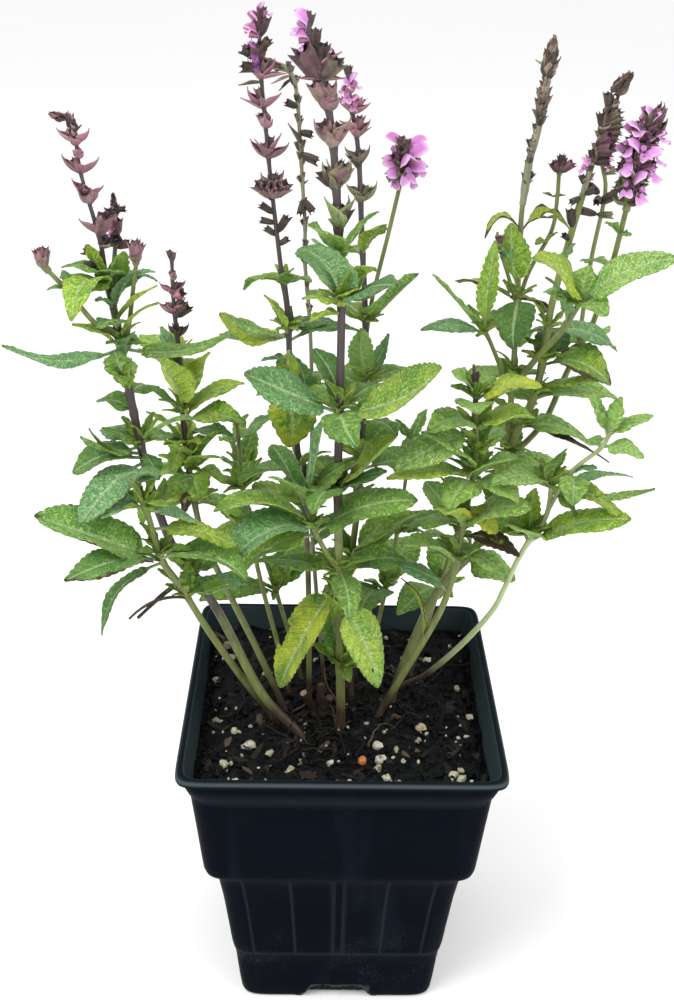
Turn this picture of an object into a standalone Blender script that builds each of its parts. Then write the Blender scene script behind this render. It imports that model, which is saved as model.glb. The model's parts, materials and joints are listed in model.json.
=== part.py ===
"""A potted meadow sage: a square black nursery pot of soil, and a clump of leafy stems with flower spikes.

Lengths are in millimetres, and MM turns them into metres where a mesh is made. The origin is the middle of
the pot's base, with +X to the right, +Y to the back and +Z up. Compass angles run from +X towards +Y, and a
rise is the angle above level, both in degrees.
"""

import math
import random
from collections import namedtuple

import bmesh
import bpy
from mathutils import Matrix, Vector
from mathutils.bvhtree import BVHTree

MM = 0.001
SEED = 31
UP = Vector((0, 0, 1))
MESH_GAP = 0.3          # left between pieces that touch

# The pot: half widths of the square shell at its heights, from the base up to the rim.
RIM_WIDTH = 115
POT_HEIGHT = 124
WALL = 1.0
RIM_FLANGE = 3.0
SHOULDER_TOP = 75
SHOULDER_FOOT = 70
FOOT_LEDGE = 26
FLANGE_FOOT = 120
OUTSIDE = [(37.4, 0), (38, 1.5), (40.5, FOOT_LEDGE), (47, SHOULDER_FOOT), (50.4, SHOULDER_TOP), (54, 113),
           (55.5, FLANGE_FOOT), (RIM_WIDTH / 2, 121.5), (RIM_WIDTH / 2, POT_HEIGHT)]
INSIDE = (1.2, FOOT_LEDGE, SHOULDER_FOOT, SHOULDER_TOP, 112, 119)      # heights of the inner wall
SIDE_STEPS = (-1, -0.9, -0.45, 0, 0.45, 0.9)    # where a side's points lie, as shares of its half width
RIM_POWER = 22          # of the superellipse that a ring of the pot follows
WALL_POWER = 13
ARCH_HEIGHT = 7.3
ARCH_FOOT = 15.0
ARCH_TOP = 8.0
ARCH_DEPTH = 12.0
ARCH_BUMP = [(-2, 0), (-1.2, -2.3), (1.2, -2.3), (2, 0)]     # the moulded bump in the arch's top
DRAIN_RADIUS = 2.6
CUT_PAST = 2.0          # how far a cutter runs out past what it cuts

# The soil and what lies in it.
SOIL_EDGE = 112
SOIL_MOUND = 3.0
MOUND_REACH = 30
SOIL_RINGS = (0.8, 0.5, 0.25)
CRUMBS = ((0.7, 0.31, 1.3, 0.27), (0.4, 0.63, 0, 0.5))      # height, waves and phases of the uneven surface
GRAINS = 9
GRAIN_SIZES = (1.3, 2.1)
GRAIN_SPREAD = 0.82     # share of the surface that grains lie on
GRAIN_SUNK = 0.15       # how far a grain's middle lies below the surface, as a share of its size
GRAINS_APART = 6
GRAIN_TO_STEM = 8
GRAIN_TO_CROWN = 10
CROWN_PLACE = (-8, -5)
CROWN_RADIUS = 4.6
CROWN_FOOT = 104
CROWN_TOP = 118
CROWN_SIDES = 6
CROWN_TAPER = 0.8
STUBS = ((200, 62, 14), (320, 66, 12), (80, 76, 13))         # compass, rise and length of each cut stub
STUB_ROOT = 5.0         # how far below the crown's top the stubs start
STUB_RADII = (2.0, 1.7)

# How blades are made. A blade is a lens of leaf, bract, calyx or petal, closed to a point at both ends.
LEAF_THICK = 1.3
LEAF_CELLS = ((35, 7), (23, 5), (15, 4), (0, 3))     # shortest length, and its cells
KEELED = 1.1            # how much thicker a leaf with a keel is than a folded one
LEAF_FOLD = 0.22        # how far the halves rise from the midrib, as a share of the half width
FOLDED_FROM = 24        # shorter leaves are flat above, with a keel below
TOOTH = 0.12            # how far the crenate edge steps in and out
PETIOLE = 0.16          # share of a leaf that is its stalk
BASE_CURVE = 0.4        # how fast a blade widens from its base, and narrows to its tip: lower is blunter
TIP_CURVE = 0.6
FULLEST = 0.51          # what the two curves come to where they meet
NARROWEST = 0.6         # half width of a blade's neck and stalk
THINNING = 0.4          # how much thinner a blade is at its tip than at its root
LEAF_NECK = 0.6         # how far past its stem's skin a leaf's second row of points lies
WHORL_NECK = 0.5
CLEAR_THICK = 0.7       # what a blade is grown by when its neighbours are tested
CLEAR_WIDTH = 0.8
ROOT_SHARE = 0.35       # share of a blade that may touch its own stem
ROOTED = 1.5            # how far below a stem's end the last blades are rooted
WHORL_SPREAD = 0.5      # how unevenly a whorl's parts sit on their stem, in height and compass angle
WHORL_TURN = 8
# What a leaf tries, in order, until it is clear of its neighbours.
TURNS = (0, 12, -12, 25, -25, 40, -40, 60, -60)
TILTS = (0, 12, -12, 25, -25)
SHARES = (1, 0.85, 0.7)
STEEPEST = 88
WHORL_TURNS = (0, 10, -10)
WHORL_TILTS = (0, 15)
WHORL_SHARES = (1, 0.8)

Shoot = namedtuple("Shoot", "foot tip route leaves")
Spike = namedtuple("Spike", "foot tip route kind whorls")
Blade = namedtuple("Blade", "compass rise length width arch thick fold cells teeth")

# Leafy stems. A shoot is its radius at the foot and tip, its route, and its leaves as rows of the height
# where a leaf leaves the stem, its compass angle, rise, length, width, and arch as a share of its length.
LEAFY_STEMS = {
    "front_stem": [
        Shoot(2.3, 1.5, [(0, -13, 102), (0, -13, 114), (-1, -15, 150), (-2, -17, 184), (-3, -19, 216),
            (-3, -21, 245), (-3, -23, 281), (-4, -24, 299)], [
            (245, 200, 30, 35, 17, -0.05), (245, 335, 30, 40, 22, -0.1), (245, 110, 5, 23, 13, 0.1),
            (245, 295, -5, 20, 13, 0.15), (281, 215, 55, 25, 24, 0.15), (281, 320, 30, 23, 18, 0.08),
            (282, 105, -10, 25, 13, 0.1), (294, 220, 65, 18, 12, 0.08), (294, 290, 60, 20, 11, 0.1),
            (216, 330, 50, 32, 17, 0), (215, 150, 15, 18, 15, 0.1), (183, 165, 0, 31, 13, 0.1),
            (183, 25, 0, 26, 13, 0.1), (142, 130, 75, 32, 11, 0), (142, 35, 0, 15, 9, 0.1),
            (180, 204, -56, 45, 18, 0.03), (172, 329, -57, 35, 17, 0.03),
            (216, 250, 10, 24, 11, 0.12), (184, 280, -15, 22, 10, 0.15), (246, 45, 10, 22, 11, 0.1),
        ]),
        Shoot(1.1, 0.9, [(-2, -17, 184), (-9, -20, 198), (-14, -23, 213), (-14, -24, 228)], [
            (201, 340, 30, 39, 24, 0.08), (202, 200, 25, 37, 22, 0.12), (203, 215, -5, 33, 24, 0.2),
            (200, 190, -25, 28, 25, 0.15), (213, 225, 65, 30, 15, 0.05), (213, 305, 80, 31, 11, 0),
            (213, 240, 45, 22, 13, 0.1), (211, 315, 55, 25, 13, 0.1),
        ]),
    ],
    "rear_stem": [
        Shoot(1.8, 1.2, [(5, 3, 102), (4, 5, 114), (2, 9, 157), (5, 14, 195), (6, 17, 226),
            (6, 18, 259), (4, 18, 290)], [
            (285, 315, 55, 16, 11, 0.1), (285, 120, 0, 10, 9, 0.1), (261, 330, 50, 28, 18, 0),
            (261, 120, 15, 15, 12, 0.1), (239, 255, 75, 24, 15, 0.05), (241, 40, 55, 18, 8, -0.1),
            (236, 20, 20, 21, 13, 0.12), (236, 140, 10, 21, 13, 0.1), (210, 45, 45, 19, 13, 0.05),
            (207, 20, -10, 31, 17, 0.12), (207, 140, -20, 22, 17, 0.12), (172, 15, 35, 31, 20, 0.08),
            (172, 155, -40, 31, 17, 0.15),
            (225, 300, 10, 22, 10, 0.1), (190, 230, 0, 24, 11, 0.1),
        ]),
        Shoot(0.9, 0.9, [(6, 18, 253), (8, 20, 269), (13, 24, 291), (16, 26, 305), (17, 27, 309)], [
        ]),
    ],
    "left_centre_stem": [
        Shoot(1.4, 1.2, [(-12, 3, 102), (-12, 3, 112), (-13, 3, 177), (-16, 1, 214), (-19, -1, 248),
            (-20, -2, 272), (-22, -3, 286)], [
            (281, 140, -15, 18, 8, 0.2), (281, 315, 25, 11, 12, 0.1), (265, 170, 5, 23, 13, -0.15),
            (265, 35, 0, 19, 13, 0.1), (264, 155, -5, 26, 13, -0.1), (244, 270, -55, 19, 18, 0.2),
            (244, 45, 10, 15, 15, 0.1), (242, 130, -15, 19, 12, 0.12), (214, 150, -25, 28, 15, 0.1),
            (214, 40, -25, 26, 15, 0.1),
            (228, 100, 0, 20, 9, 0.1), (196, 250, -10, 24, 11, 0.12), (196, 70, 5, 22, 10, 0.1),
        ]),
    ],
    "left_stem": [
        Shoot(2.1, 1.4, [(-12, -19, 102), (-15, -18, 114), (-29, -16, 131), (-43, -16, 164),
            (-51, -18, 181), (-58, -20, 194), (-63, -22, 213), (-66, -24, 232), (-69, -26, 257),
            (-71, -27, 277), (-73, -28, 292)], [
            (268, 195, 0, 35, 13, -0.1), (268, 350, 15, 35, 13, -0.14), (274, 240, 25, 20, 11, 0.1),
            (287, 245, 10, 20, 18, 0.2), (287, 290, 40, 15, 11, 0.1), (287, 35, 0, 16, 17, 0.2),
            (288, 265, 30, 15, 9, 0.2), (234, 215, 25, 22, 12, -0.15), (234, 330, 35, 25, 12, 0.1),
            (236, 155, 5, 15, 10, 0.1), (231, 195, -10, 23, 17, 0.15), (228, 220, -20, 31, 20, 0.25),
            (246, 160, 10, 13, 12, 0.1), (252, 75, -10, 16, 12, 0.1), (257, 245, 60, 15, 10, 0),
            (210, 60, 10, 20, 9, 0.1), (182, 240, -20, 24, 11, 0.12), (182, 60, 0, 22, 10, 0.1),
        ]),
        Shoot(1, 0.8, [(-71, -27, 272), (-77, -30, 277), (-83, -33, 287), (-88, -35, 294)], [
        ]),
        Shoot(0.9, 0.8, [(-69, -26, 266), (-66, -30, 280), (-64, -32, 291), (-63, -33, 296)], [
        ]),
        Shoot(0.9, 0.8, [(-72, -27, 280), (-72, -22, 288), (-71, -19, 298), (-71, -18, 303)], [
        ]),
    ],
    "left_low_stem": [
        Shoot(1.6, 1.1, [(-20, -8, 102), (-24, -9, 113), (-37, -13, 137), (-48, -22, 164),
            (-55, -31, 186), (-60, -37, 200), (-63, -41, 219), (-67, -42, 231)], [
            (200, 200, 30, 44, 22, 0), (199, 215, 15, 38, 17, 0.08), (198, 210, -40, 31, 13, 0.15),
            (200, 335, 5, 32, 22, 0.12), (220, 185, -10, 23, 18, 0.1), (220, 25, -35, 32, 15, 0.06),
            (231, 255, 40, 12, 12, 0.1), (231, 55, 20, 9, 12, 0.1),
            (180, 230, 10, 26, 12, 0.1), (180, 50, 0, 22, 10, 0.1),
        ]),
    ],
    "left_back_stem": [
        Shoot(1.6, 1.1, [(-17, -5, 102), (-20, -4, 112), (-32, 2, 139), (-41, 7, 157), (-51, 12, 179),
            (-55, 15, 198), (-57, 17, 217), (-58, 18, 243), (-58, 18, 252)], [
            (227, 220, 65, 31, 19, 0.1), (229, 40, 60, 22, 10, 0.05), (225, 20, 30, 25, 12, 0.15),
            (224, 345, 10, 23, 12, 0.12), (248, 135, 10, 20, 17, 0.1), (247, 60, -45, 18, 13, 0.12),
            (206, 235, 55, 22, 12, 0.1), (206, 275, 55, 23, 11, 0.05), (205, 315, 40, 20, 12, 0.1),
            (204, 335, 5, 15, 11, 0.15), (204, 285, 0, 19, 12, 0.2), (204, 230, 0, 16, 12, 0.2),
            (193, 145, -30, 31, 17, 0.15), (193, 50, -35, 25, 17, 0.15),
            (215, 100, 0, 20, 9, 0.1),
        ]),
    ],
    "middle_left_stem": [
        Shoot(1.2, 0.9, [(-17, 4, 102), (-19, 6, 113), (-25, 12, 137), (-31, 18, 159), (-35, 24, 177),
            (-38, 28, 196), (-39, 30, 211), (-40, 31, 221)], [
            (192, 80, 35, 13, 12, 0.1), (192, 25, -20, 22, 12, 0.1), (212, 55, 0, 11, 7, 0.1),
            (212, 130, -20, 12, 7, 0.1), (172, 145, -20, 28, 18, 0.15), (172, 40, -35, 30, 17, 0.15),
        ]),
    ],
    "right_stem": [
        Shoot(2.2, 1.3, [(17, 1, 102), (19, 2, 114), (22, 4, 125), (32, 7, 154), (38, 9, 165),
            (47, 11, 176), (54, 12, 189), (57, 13, 209), (60, 12, 225), (64, 11, 236), (66, 10, 250),
            (67, 9, 271), (71, 8, 297), (73, 7, 309)], [
            (205, 220, 40, 26, 13, 0.1), (206, 30, -5, 29, 17, 0.15), (225, 125, -5, 16, 17, 0.12),
            (226, 25, -10, 25, 17, 0.12), (237, 15, 0, 31, 17, 0.12), (236, 125, -5, 19, 13, 0.1),
            (250, 345, -10, 24, 17, 0.2), (250, 65, 20, 21, 12, 0.1), (173, 225, 40, 29, 17, 0.12),
            (173, 340, -10, 20, 18, 0.12), (263, 5, -15, 26, 12, 0.1), (263, 70, -30, 22, 12, 0.1),
            (215, 80, 10, 22, 10, 0.1), (215, 260, 0, 24, 11, 0.1), (190, 300, 20, 24, 11, 0.1),
        ]),
        Shoot(1.4, 1, [(57, 13, 209), (57, 13, 217), (57, 13, 242), (56, 12, 272), (55, 12, 297),
            (55, 12, 304)], [
            (272, 190, 20, 23, 10, 0.1), (273, 260, -35, 20, 17, 0.2), (273, 25, -25, 16, 12, 0.1),
            (276, 225, 75, 24, 11, 0), (296, 190, -10, 12, 7, 0.5), (295, 350, 5, 16, 8, 0.4),
            (244, 145, -10, 19, 12, 0.1), (244, 55, -10, 22, 11, 0.1),
        ]),
        Shoot(1.3, 1, [(57, 13, 240), (63, 4, 255), (69, -3, 267), (73, -8, 279)], [
            (279, 210, 45, 26, 17, 0.1), (279, 340, 35, 33, 17, 0.08), (278, 140, 10, 13, 11, 0.1),
            (279, 65, 60, 13, 9, 0.1), (278, 300, 5, 13, 10, 0.15),
        ]),
        Shoot(1.1, 0.8, [(57, 13, 236), (55, 13, 242), (47, 6, 260), (44, 4, 265)], [
            (263, 190, 10, 22, 11, 0.1), (264, 195, 50, 28, 11, 0), (264, 290, 85, 32, 11, 0),
            (264, 55, 25, 12, 7, 0.1),
        ]),
        Shoot(1.3, 1, [(58, 13, 214), (66, 20, 218), (72, 22, 226), (77, 24, 240), (82, 25, 253),
            (84, 20, 262), (86, 12, 284), (87, 6, 304)], [
            (284, 135, 0, 12, 7, 0.1), (285, 300, 5, 8, 9, 0.12), (252, 45, 10, 16, 12, 0.1),
            (252, 120, 10, 13, 11, 0.1),
        ]),
        Shoot(1, 0.8, [(77, 24, 240), (81, 27, 252), (82, 28, 267), (83, 29, 283), (85, 29, 304),
            (83, 29, 313)], [
        ]),
        Shoot(0.9, 0.8, [(56, 12, 269), (60, 18, 280), (67, 22, 293), (68, 23, 303), (68, 24, 311)], [
        ]),
        Shoot(0.8, 0.8, [(56, 12, 270), (52, 10, 281), (48, 8, 291)], [
        ]),
    ],
    "right_inner_stem": [
        Shoot(1.7, 1, [(12, -7, 102), (14, -7, 114), (18, -7, 124), (30, -8, 151), (36, -9, 167),
            (39, -11, 184), (40, -13, 199), (41, -15, 211), (42, -17, 227), (41, -18, 241),
            (40, -19, 254)], [
            (221, 210, 45, 29, 13, 0.1), (219, 325, 40, 20, 12, 0.1), (219, 240, -10, 18, 13, 0.2),
            (218, 300, -5, 18, 13, 0.2), (238, 200, -20, 30, 13, 0.1), (239, 220, 15, 22, 13, 0.15),
            (239, 340, 20, 20, 15, 0.1), (247, 265, 15, 16, 12, 0.1), (249, 340, 25, 22, 15, 0.1),
            (251, 180, 45, 11, 10, 0.1), (250, 40, 25, 11, 9, 0.1), (200, 145, -10, 19, 17, 0.12),
            (200, 325, 35, 28, 17, 0.1), (200, 260, 35, 28, 12, 0.1),
            (229, 60, 5, 22, 10, 0.1), (185, 200, 30, 24, 11, 0.1),
        ]),
    ],
    "right_low_stem": [
        Shoot(1.4, 1, [(19, 14, 104), (24, 13, 114), (33, 10, 122), (45, 4, 140), (54, -4, 160),
            (57, -8, 172), (60, -12, 186), (63, -14, 195), (68, -14, 205), (69, -13, 217)], [
            (195, 340, 25, 36, 20, 0.08), (195, 125, 35, 16, 18, 0.1), (196, 300, 35, 22, 15, 0.05),
            (217, 335, -10, 25, 12, 0.1), (217, 215, 20, 29, 15, 0.1), (214, 5, -5, 37, 10, 0.1),
            (217, 40, 5, 16, 12, 0.05),
        ]),
        Shoot(0.8, 0.8, [(68, -14, 206), (74, -16, 222), (82, -20, 233), (84, -22, 240)], [
            (240, 35, 75, 13, 7, 0.05), (240, 15, 25, 16, 8, 0.08), (240, 145, 60, 15, 6, 0.05),
            (234, 125, -5, 8, 9, 0.1), (234, 330, 0, 14, 9, 0.1), (222, 330, -45, 12, 10, 0.2),
        ]),
    ],
    "back_left_stem": [
        Shoot(1.2, 0.8, [(-13, 15, 102), (-15, 17, 114), (-25, 29, 145), (-36, 42, 175), (-43, 50, 201)], []),
    ],
    "back_middle_stem": [
        Shoot(1.2, 0.8, [(9, 17, 102), (10, 19, 114), (17, 31, 145), (23, 44, 176), (26, 53, 203)], []),
    ],
    "back_right_stem": [
        Shoot(1.4, 0.9, [(26, 20, 102), (28, 22, 114), (38, 33, 145), (48, 45, 176), (55, 53, 205)], []),
    ],
}

# Stems whose leaves follow a rule: pairs that cross at right angles, shorter towards the tip.
RULE_STEMS = ("back_left_stem", "back_middle_stem", "back_right_stem")
RULE_FIRST = 146
RULE_PITCH = 21
RULE_LENGTHS = (33, 20)
RULE_WIDTH = 0.48
RULE_COMPASS = 70
RULE_RISES = (15, 45)
RULE_ARCH = 0.12
RULE_TIPS = (40, 60, 14, 7, 0.05)       # the pair at the tip: compass, rise, length, width and arch

# Flower spikes, with whorls as rows of height, compass angle and size.
SPIKES = {
    "front_spike": Spike(1.7, 1.0, [(-4, -24, 299), (-5, -25, 314), (-7, -26, 335), (-11, -27, 352),
                                    (-14, -28, 362)],
        "bracts", [(305, 15, 10), (317, 350, 9.5), (329, 10, 9.5), (339, 95, 8.5), (340, 5, 8), (348, 15, 8),
                   (355, 350, 7), (361, 30, 5)]),
    "rear_spike": Spike(1.4, 0.8, [(4, 18, 290), (2, 17, 319), (-1, 16, 335), (-2, 15, 345)],
        "bracts", [(303, 10, 8), (315, 350, 7), (324, 20, 7.5), (331, 355, 7), (337, 80, 6), (342, 20, 4)]),
    "left_centre_spike": Spike(1.3, 0.8, [(-22, -3, 286), (-25, -4, 314), (-27, -5, 338), (-28, -6, 352),
                                          (-27, -7, 362)],
        "bracts", [(311, 10, 7), (321, 350, 8), (330, 90, 6.5), (336, 10, 7), (344, 355, 6.5), (350, 70, 6),
                   (356, 10, 6.5), (361, 60, 4.5)]),
    "left_spike": Spike(1.1, 0.6, [(-73, -28, 292), (-74, -28, 302), (-78, -28, 321), (-79, -28, 333),
                                   (-82, -30, 339)],
        "bracts", [(304, 190, 7), (314, 355, 7), (321, 10, 7), (325, 95, 5), (329, 5, 6.5), (334, 80, 3.5)]),
    "left_small_spike": Spike(1.0, 0.6, [(-71, -18, 303), (-71, -17, 318)],
        "bracts", [(306, 20, 4.5), (311, 100, 5), (316, 10, 4)]),
    "left_back_spike": Spike(1.1, 0.7, [(-58, 18, 252), (-59, 18, 267), (-59, 18, 284)],
        "bracts", [(256, 20, 6), (264, 350, 6.5), (271, 10, 6.5), (276, 95, 4.5), (282, 20, 4.5)]),
    "left_bud": Spike(1.3, 0.8, [(-88, -35, 294), (-91, -37, 299)], "bud", [(296, 0, 6)]),
    "middle_bud": Spike(1.3, 0.8, [(-63, -33, 296), (-63, -34, 302)], "bud", [(298, 0, 6)]),
    "right_bud": Spike(1.1, 0.7, [(68, 24, 311), (69, 24, 317)], "bud", [(313, 0, 5)]),
    "right_left_bud": Spike(0.9, 0.6, [(48, 8, 291), (47, 8, 296)], "bud", [(292, 0, 3.5)]),
    "right_inner_bud": Spike(1.2, 0.6, [(40, -19, 254), (39, -19, 261)], "bud", [(255, 0, 4)]),
    "right_tall_spike": Spike(1.4, 1.0, [(55, 12, 304), (56, 12, 318), (58, 11, 330), (59, 10, 345),
                                         (60, 10, 357)],
        "spent", [(311, 10, 4.5), (319, 60, 3), (334, 70, 3.5), (343, 10, 4), (347, 80, 6), (351, 0, 6)]),
    "right_spent_spike": Spike(1.5, 0.9, [(73, 7, 309), (76, 6, 326), (78, 5, 338), (81, 4, 345)],
        "spent", [(312, 20, 4.5), (319, 70, 4.5), (329, 10, 6), (335, 75, 6), (340, 20, 6.5), (343, 100, 6)]),
    "right_faded_spike": Spike(1.0, 0.7, [(83, 29, 313), (83, 29, 318)], "spent", [(315, 20, 3.5)]),
    "centre_bloom": Spike(1.4, 1.0, [(17, 27, 309), (18, 27, 321)], "bloom", [(310, 0, 8), (316, 40, 8)]),
    "right_bloom": Spike(1.6, 1.0, [(87, 6, 304), (89, 6, 318), (93, 6, 337)],
        "bloom", [(309, 0, 8), (318, 45, 8.5), (327, 10, 8)]),
    "spent_stem": Spike(1.3, 0.9, [(-5, 13, 102), (-6, 14, 111), (-12, 22, 183), (-12, 26, 222),
                                   (-13, 29, 255), (-15, 30, 279), (-15, 31, 291), (-16, 31, 306),
                                   (-17, 31, 323), (-18, 30, 335), (-20, 29, 341), (-25, 28, 344)],
        "spent", [(262, 20, 3), (279, 70, 3.5), (291, 20, 3.5), (306, 60, 3.5), (316, 10, 4.5),
                  (325, 70, 3.5), (337, 20, 4)]),
}

# What one whorl of each kind is made of. Length and width are shares of the whorl's size.
Tier = namedtuple("Tier", "turns rise length width arch thick fold cells")
WHORLS = {
    "bracts": [Tier((0, 180), 40, 1.0, 1.0, -0.12, 1.0, 0.5, 3), Tier((80,), 60, 0.75, 0.42, 0, 2.4, 0, 2)],
    "spent": [Tier((0, 150), 55, 1.0, 0.7, 0, 2.4, 0, 2)],
    "bud": [Tier((0, 72, 144, 216, 288), 56, 1.0, 0.6, 0, 2.4, 0, 2)],
    "bloom": [Tier((45, 135, 225, 315), 45, 0.85, 0.45, 0, 2.6, 0, 2),
              Tier((0, 90, 180, 270), 30, 1.4, 0.45, 0.22, 2.4, 0, 2),
              Tier((0, 90, 180, 270), -10, 1.4, 0.95, 0.18, 1.2, -0.2, 3)],
}

SPIKE_FINISHES = {"bracts": "bract", "spent": "dry", "bud": "bract", "bloom": "bloom"}

# Colours as red, green and blue, with roughness.
FINISHES = {
    "pot": ((0.012, 0.018, 0.026), 0.42),
    "soil": ((0.022, 0.016, 0.012), 0.95),
    "crown": ((0.16, 0.10, 0.06), 0.85),
    "leaf": ((0.10, 0.25, 0.05), 0.55),
    "bract": ((0.16, 0.05, 0.09), 0.6),
    "dry": ((0.10, 0.06, 0.035), 0.85),
    "bloom": ((0.60, 0.17, 0.55), 0.5),
}


def finish(name):
    """The material of a finish, made once."""
    material = bpy.data.materials.get(name)
    if material is None:
        material = bpy.data.materials.new(name)
        material.use_nodes = True
        colour, roughness = FINISHES[name]
        shader = material.node_tree.nodes["Principled BSDF"]
        shader.inputs["Base Color"].default_value = (*colour, 1)
        shader.inputs["Roughness"].default_value = roughness
        shader.inputs["Metallic"].default_value = 0
    return material


def make_object(name, shape, collection, material=None):
    """An object from a bmesh in millimetres, which it frees."""
    bmesh.ops.scale(shape, vec=(MM, MM, MM), verts=shape.verts)
    mesh = bpy.data.meshes.new(name)
    shape.to_mesh(mesh)
    shape.free()
    thing = bpy.data.objects.new(name, mesh)
    collection.objects.link(thing)
    if material:
        mesh.materials.append(finish(material))
    return thing


def keep_cutter(thing):
    """Marks an object as a cutter, which is no part of the plant."""
    thing.hide_render = True
    thing.display_type = "WIRE"
    return thing


def combine(target, pieces, operation):
    """Joins or cuts the target with a collection of pieces in one Boolean, and removes the pieces."""
    step = target.modifiers.new(operation.lower(), "BOOLEAN")
    step.operation = operation
    step.operand_type = "COLLECTION"
    step.collection = pieces
    step.solver = "MANIFOLD"
    graph = bpy.context.evaluated_depsgraph_get()
    joined = bpy.data.meshes.new_from_object(target.evaluated_get(graph))
    target.modifiers.remove(step)
    target.data = joined
    for piece in list(pieces.objects):
        bpy.data.objects.remove(piece)
    bpy.data.collections.remove(pieces)


def new_collection(name, parent):
    collection = bpy.data.collections.new(name)
    parent.children.link(collection)
    return collection


# The pot and the soil are lofts of rounded squares.

def side_power(height):
    """How square the pot is at a height: sharper at the rim than in its walls."""
    return RIM_POWER if height >= FLANGE_FOOT else WALL_POWER


def square_ring(half, height, power):
    """Points of a rounded square of a half width, anticlockwise from above."""
    points = []
    for quarter in range(4):
        for share in SIDE_STEPS:
            angle = math.atan2(-1, share) + quarter * math.pi / 2
            across, along = math.cos(angle), math.sin(angle)
            reach = half / (abs(across) ** power + abs(along) ** power) ** (1 / power)
            points.append((reach * across, reach * along, height))
    return points


def loft(rings):
    """A closed shell over a list of rings, with both ends filled."""
    shape = bmesh.new()
    loops = []
    for ring in rings:
        corners = [shape.verts.new(point) for point in ring]
        loops.append([shape.edges.new((a, b)) for a, b in zip(corners, corners[1:] + corners[:1])])
    for lower, upper in zip(loops, loops[1:]):
        bmesh.ops.bridge_loops(shape, edges=lower + upper)
    for end in (loops[0], loops[-1]):
        bmesh.ops.contextual_create(shape, geom=end)
    bmesh.ops.recalc_face_normals(shape, faces=shape.faces)
    return shape


def inner_half(height):
    """Half width of the pot's inside at a height."""
    below = [row for row in OUTSIDE if row[1] <= height][-1]
    above = [row for row in OUTSIDE if row[1] > height][0]
    share = (height - below[1]) / (above[1] - below[1])
    return min(below[0] + share * (above[0] - below[0]), RIM_WIDTH / 2 - RIM_FLANGE + WALL) - WALL


def arch_block(grow):
    """The drain arch of the front side as a solid, larger all round by grow, running in from the wall."""
    wall = OUTSIDE[1][0]
    bottom = WALL / 2 if grow else -CUT_PAST
    outer = MESH_GAP - wall if grow else -wall - CUT_PAST
    top = ARCH_HEIGHT + grow
    bump = [] if grow else [(x, top + drop) for x, drop in ARCH_BUMP]
    outline = [(-ARCH_FOOT - grow, bottom), (-ARCH_TOP - grow, top), *bump,
               (ARCH_TOP + grow, top), (ARCH_FOOT + grow, bottom)]
    shape = bmesh.new()
    face = shape.faces.new([shape.verts.new((x, outer, z)) for x, z in outline])
    inner = -wall + ARCH_DEPTH + grow
    pushed = bmesh.ops.extrude_face_region(shape, geom=[face])["geom"]
    for vertex in [item for item in pushed if isinstance(item, bmesh.types.BMVert)]:
        vertex.co.y = inner
    bmesh.ops.recalc_face_normals(shape, faces=shape.faces)
    return shape


def turned(shape, quarter):
    """Turns a shape by a number of quarters round the pot's middle."""
    turn = Matrix.Rotation(quarter * math.pi / 2, 3, "Z")
    bmesh.ops.rotate(shape, verts=shape.verts, cent=(0, 0, 0), matrix=turn)
    return shape


def make_pot(parts, cutters):
    """The nursery pot: one moulded shell with a flange rim, a shoulder and a drain arch in each side."""
    rings = [square_ring(half, height, side_power(height)) for half, height in OUTSIDE]
    rings.append(square_ring(RIM_WIDTH / 2 - RIM_FLANGE, POT_HEIGHT, side_power(POT_HEIGHT)))
    rings += [square_ring(inner_half(height), height, side_power(height)) for height in reversed(INSIDE)]
    pot = make_object("pot", loft(rings), parts, "pot")
    housings = new_collection("drain_housings", cutters)
    arches = new_collection("drain_arches", cutters)
    for quarter in range(4):
        make_object("drain_housing", turned(arch_block(WALL), quarter), housings)
        keep_cutter(make_object("drain_arch", turned(arch_block(0), quarter), arches))
        hole = bmesh.new()
        bmesh.ops.create_cone(hole, cap_ends=True, segments=8, radius1=DRAIN_RADIUS, radius2=DRAIN_RADIUS,
                              depth=3 * WALL + ARCH_DEPTH)
        bmesh.ops.rotate(hole, verts=hole.verts, cent=(0, 0, 0), matrix=Matrix.Rotation(math.pi / 2, 3, "X"))
        bmesh.ops.translate(hole, verts=hole.verts, vec=(0, ARCH_DEPTH / 2 - OUTSIDE[1][0], ARCH_HEIGHT / 2))
        keep_cutter(make_object("drain_hole", turned(hole, quarter), arches))
    combine(pot, housings, "UNION")
    combine(pot, arches, "DIFFERENCE")


def soil_height(x, y):
    """The soil's surface: a little mounded round the crown, and uneven by a millimetre or so."""
    mound = SOIL_MOUND * math.exp(-(x * x + y * y) / MOUND_REACH ** 2)
    broad, fine = CRUMBS
    mound += broad[0] * math.sin(broad[1] * x + broad[2]) * math.cos(broad[3] * y)
    return SOIL_EDGE + mound + fine[0] * math.sin(fine[1] * x + fine[2] - fine[3] * y)


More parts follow.
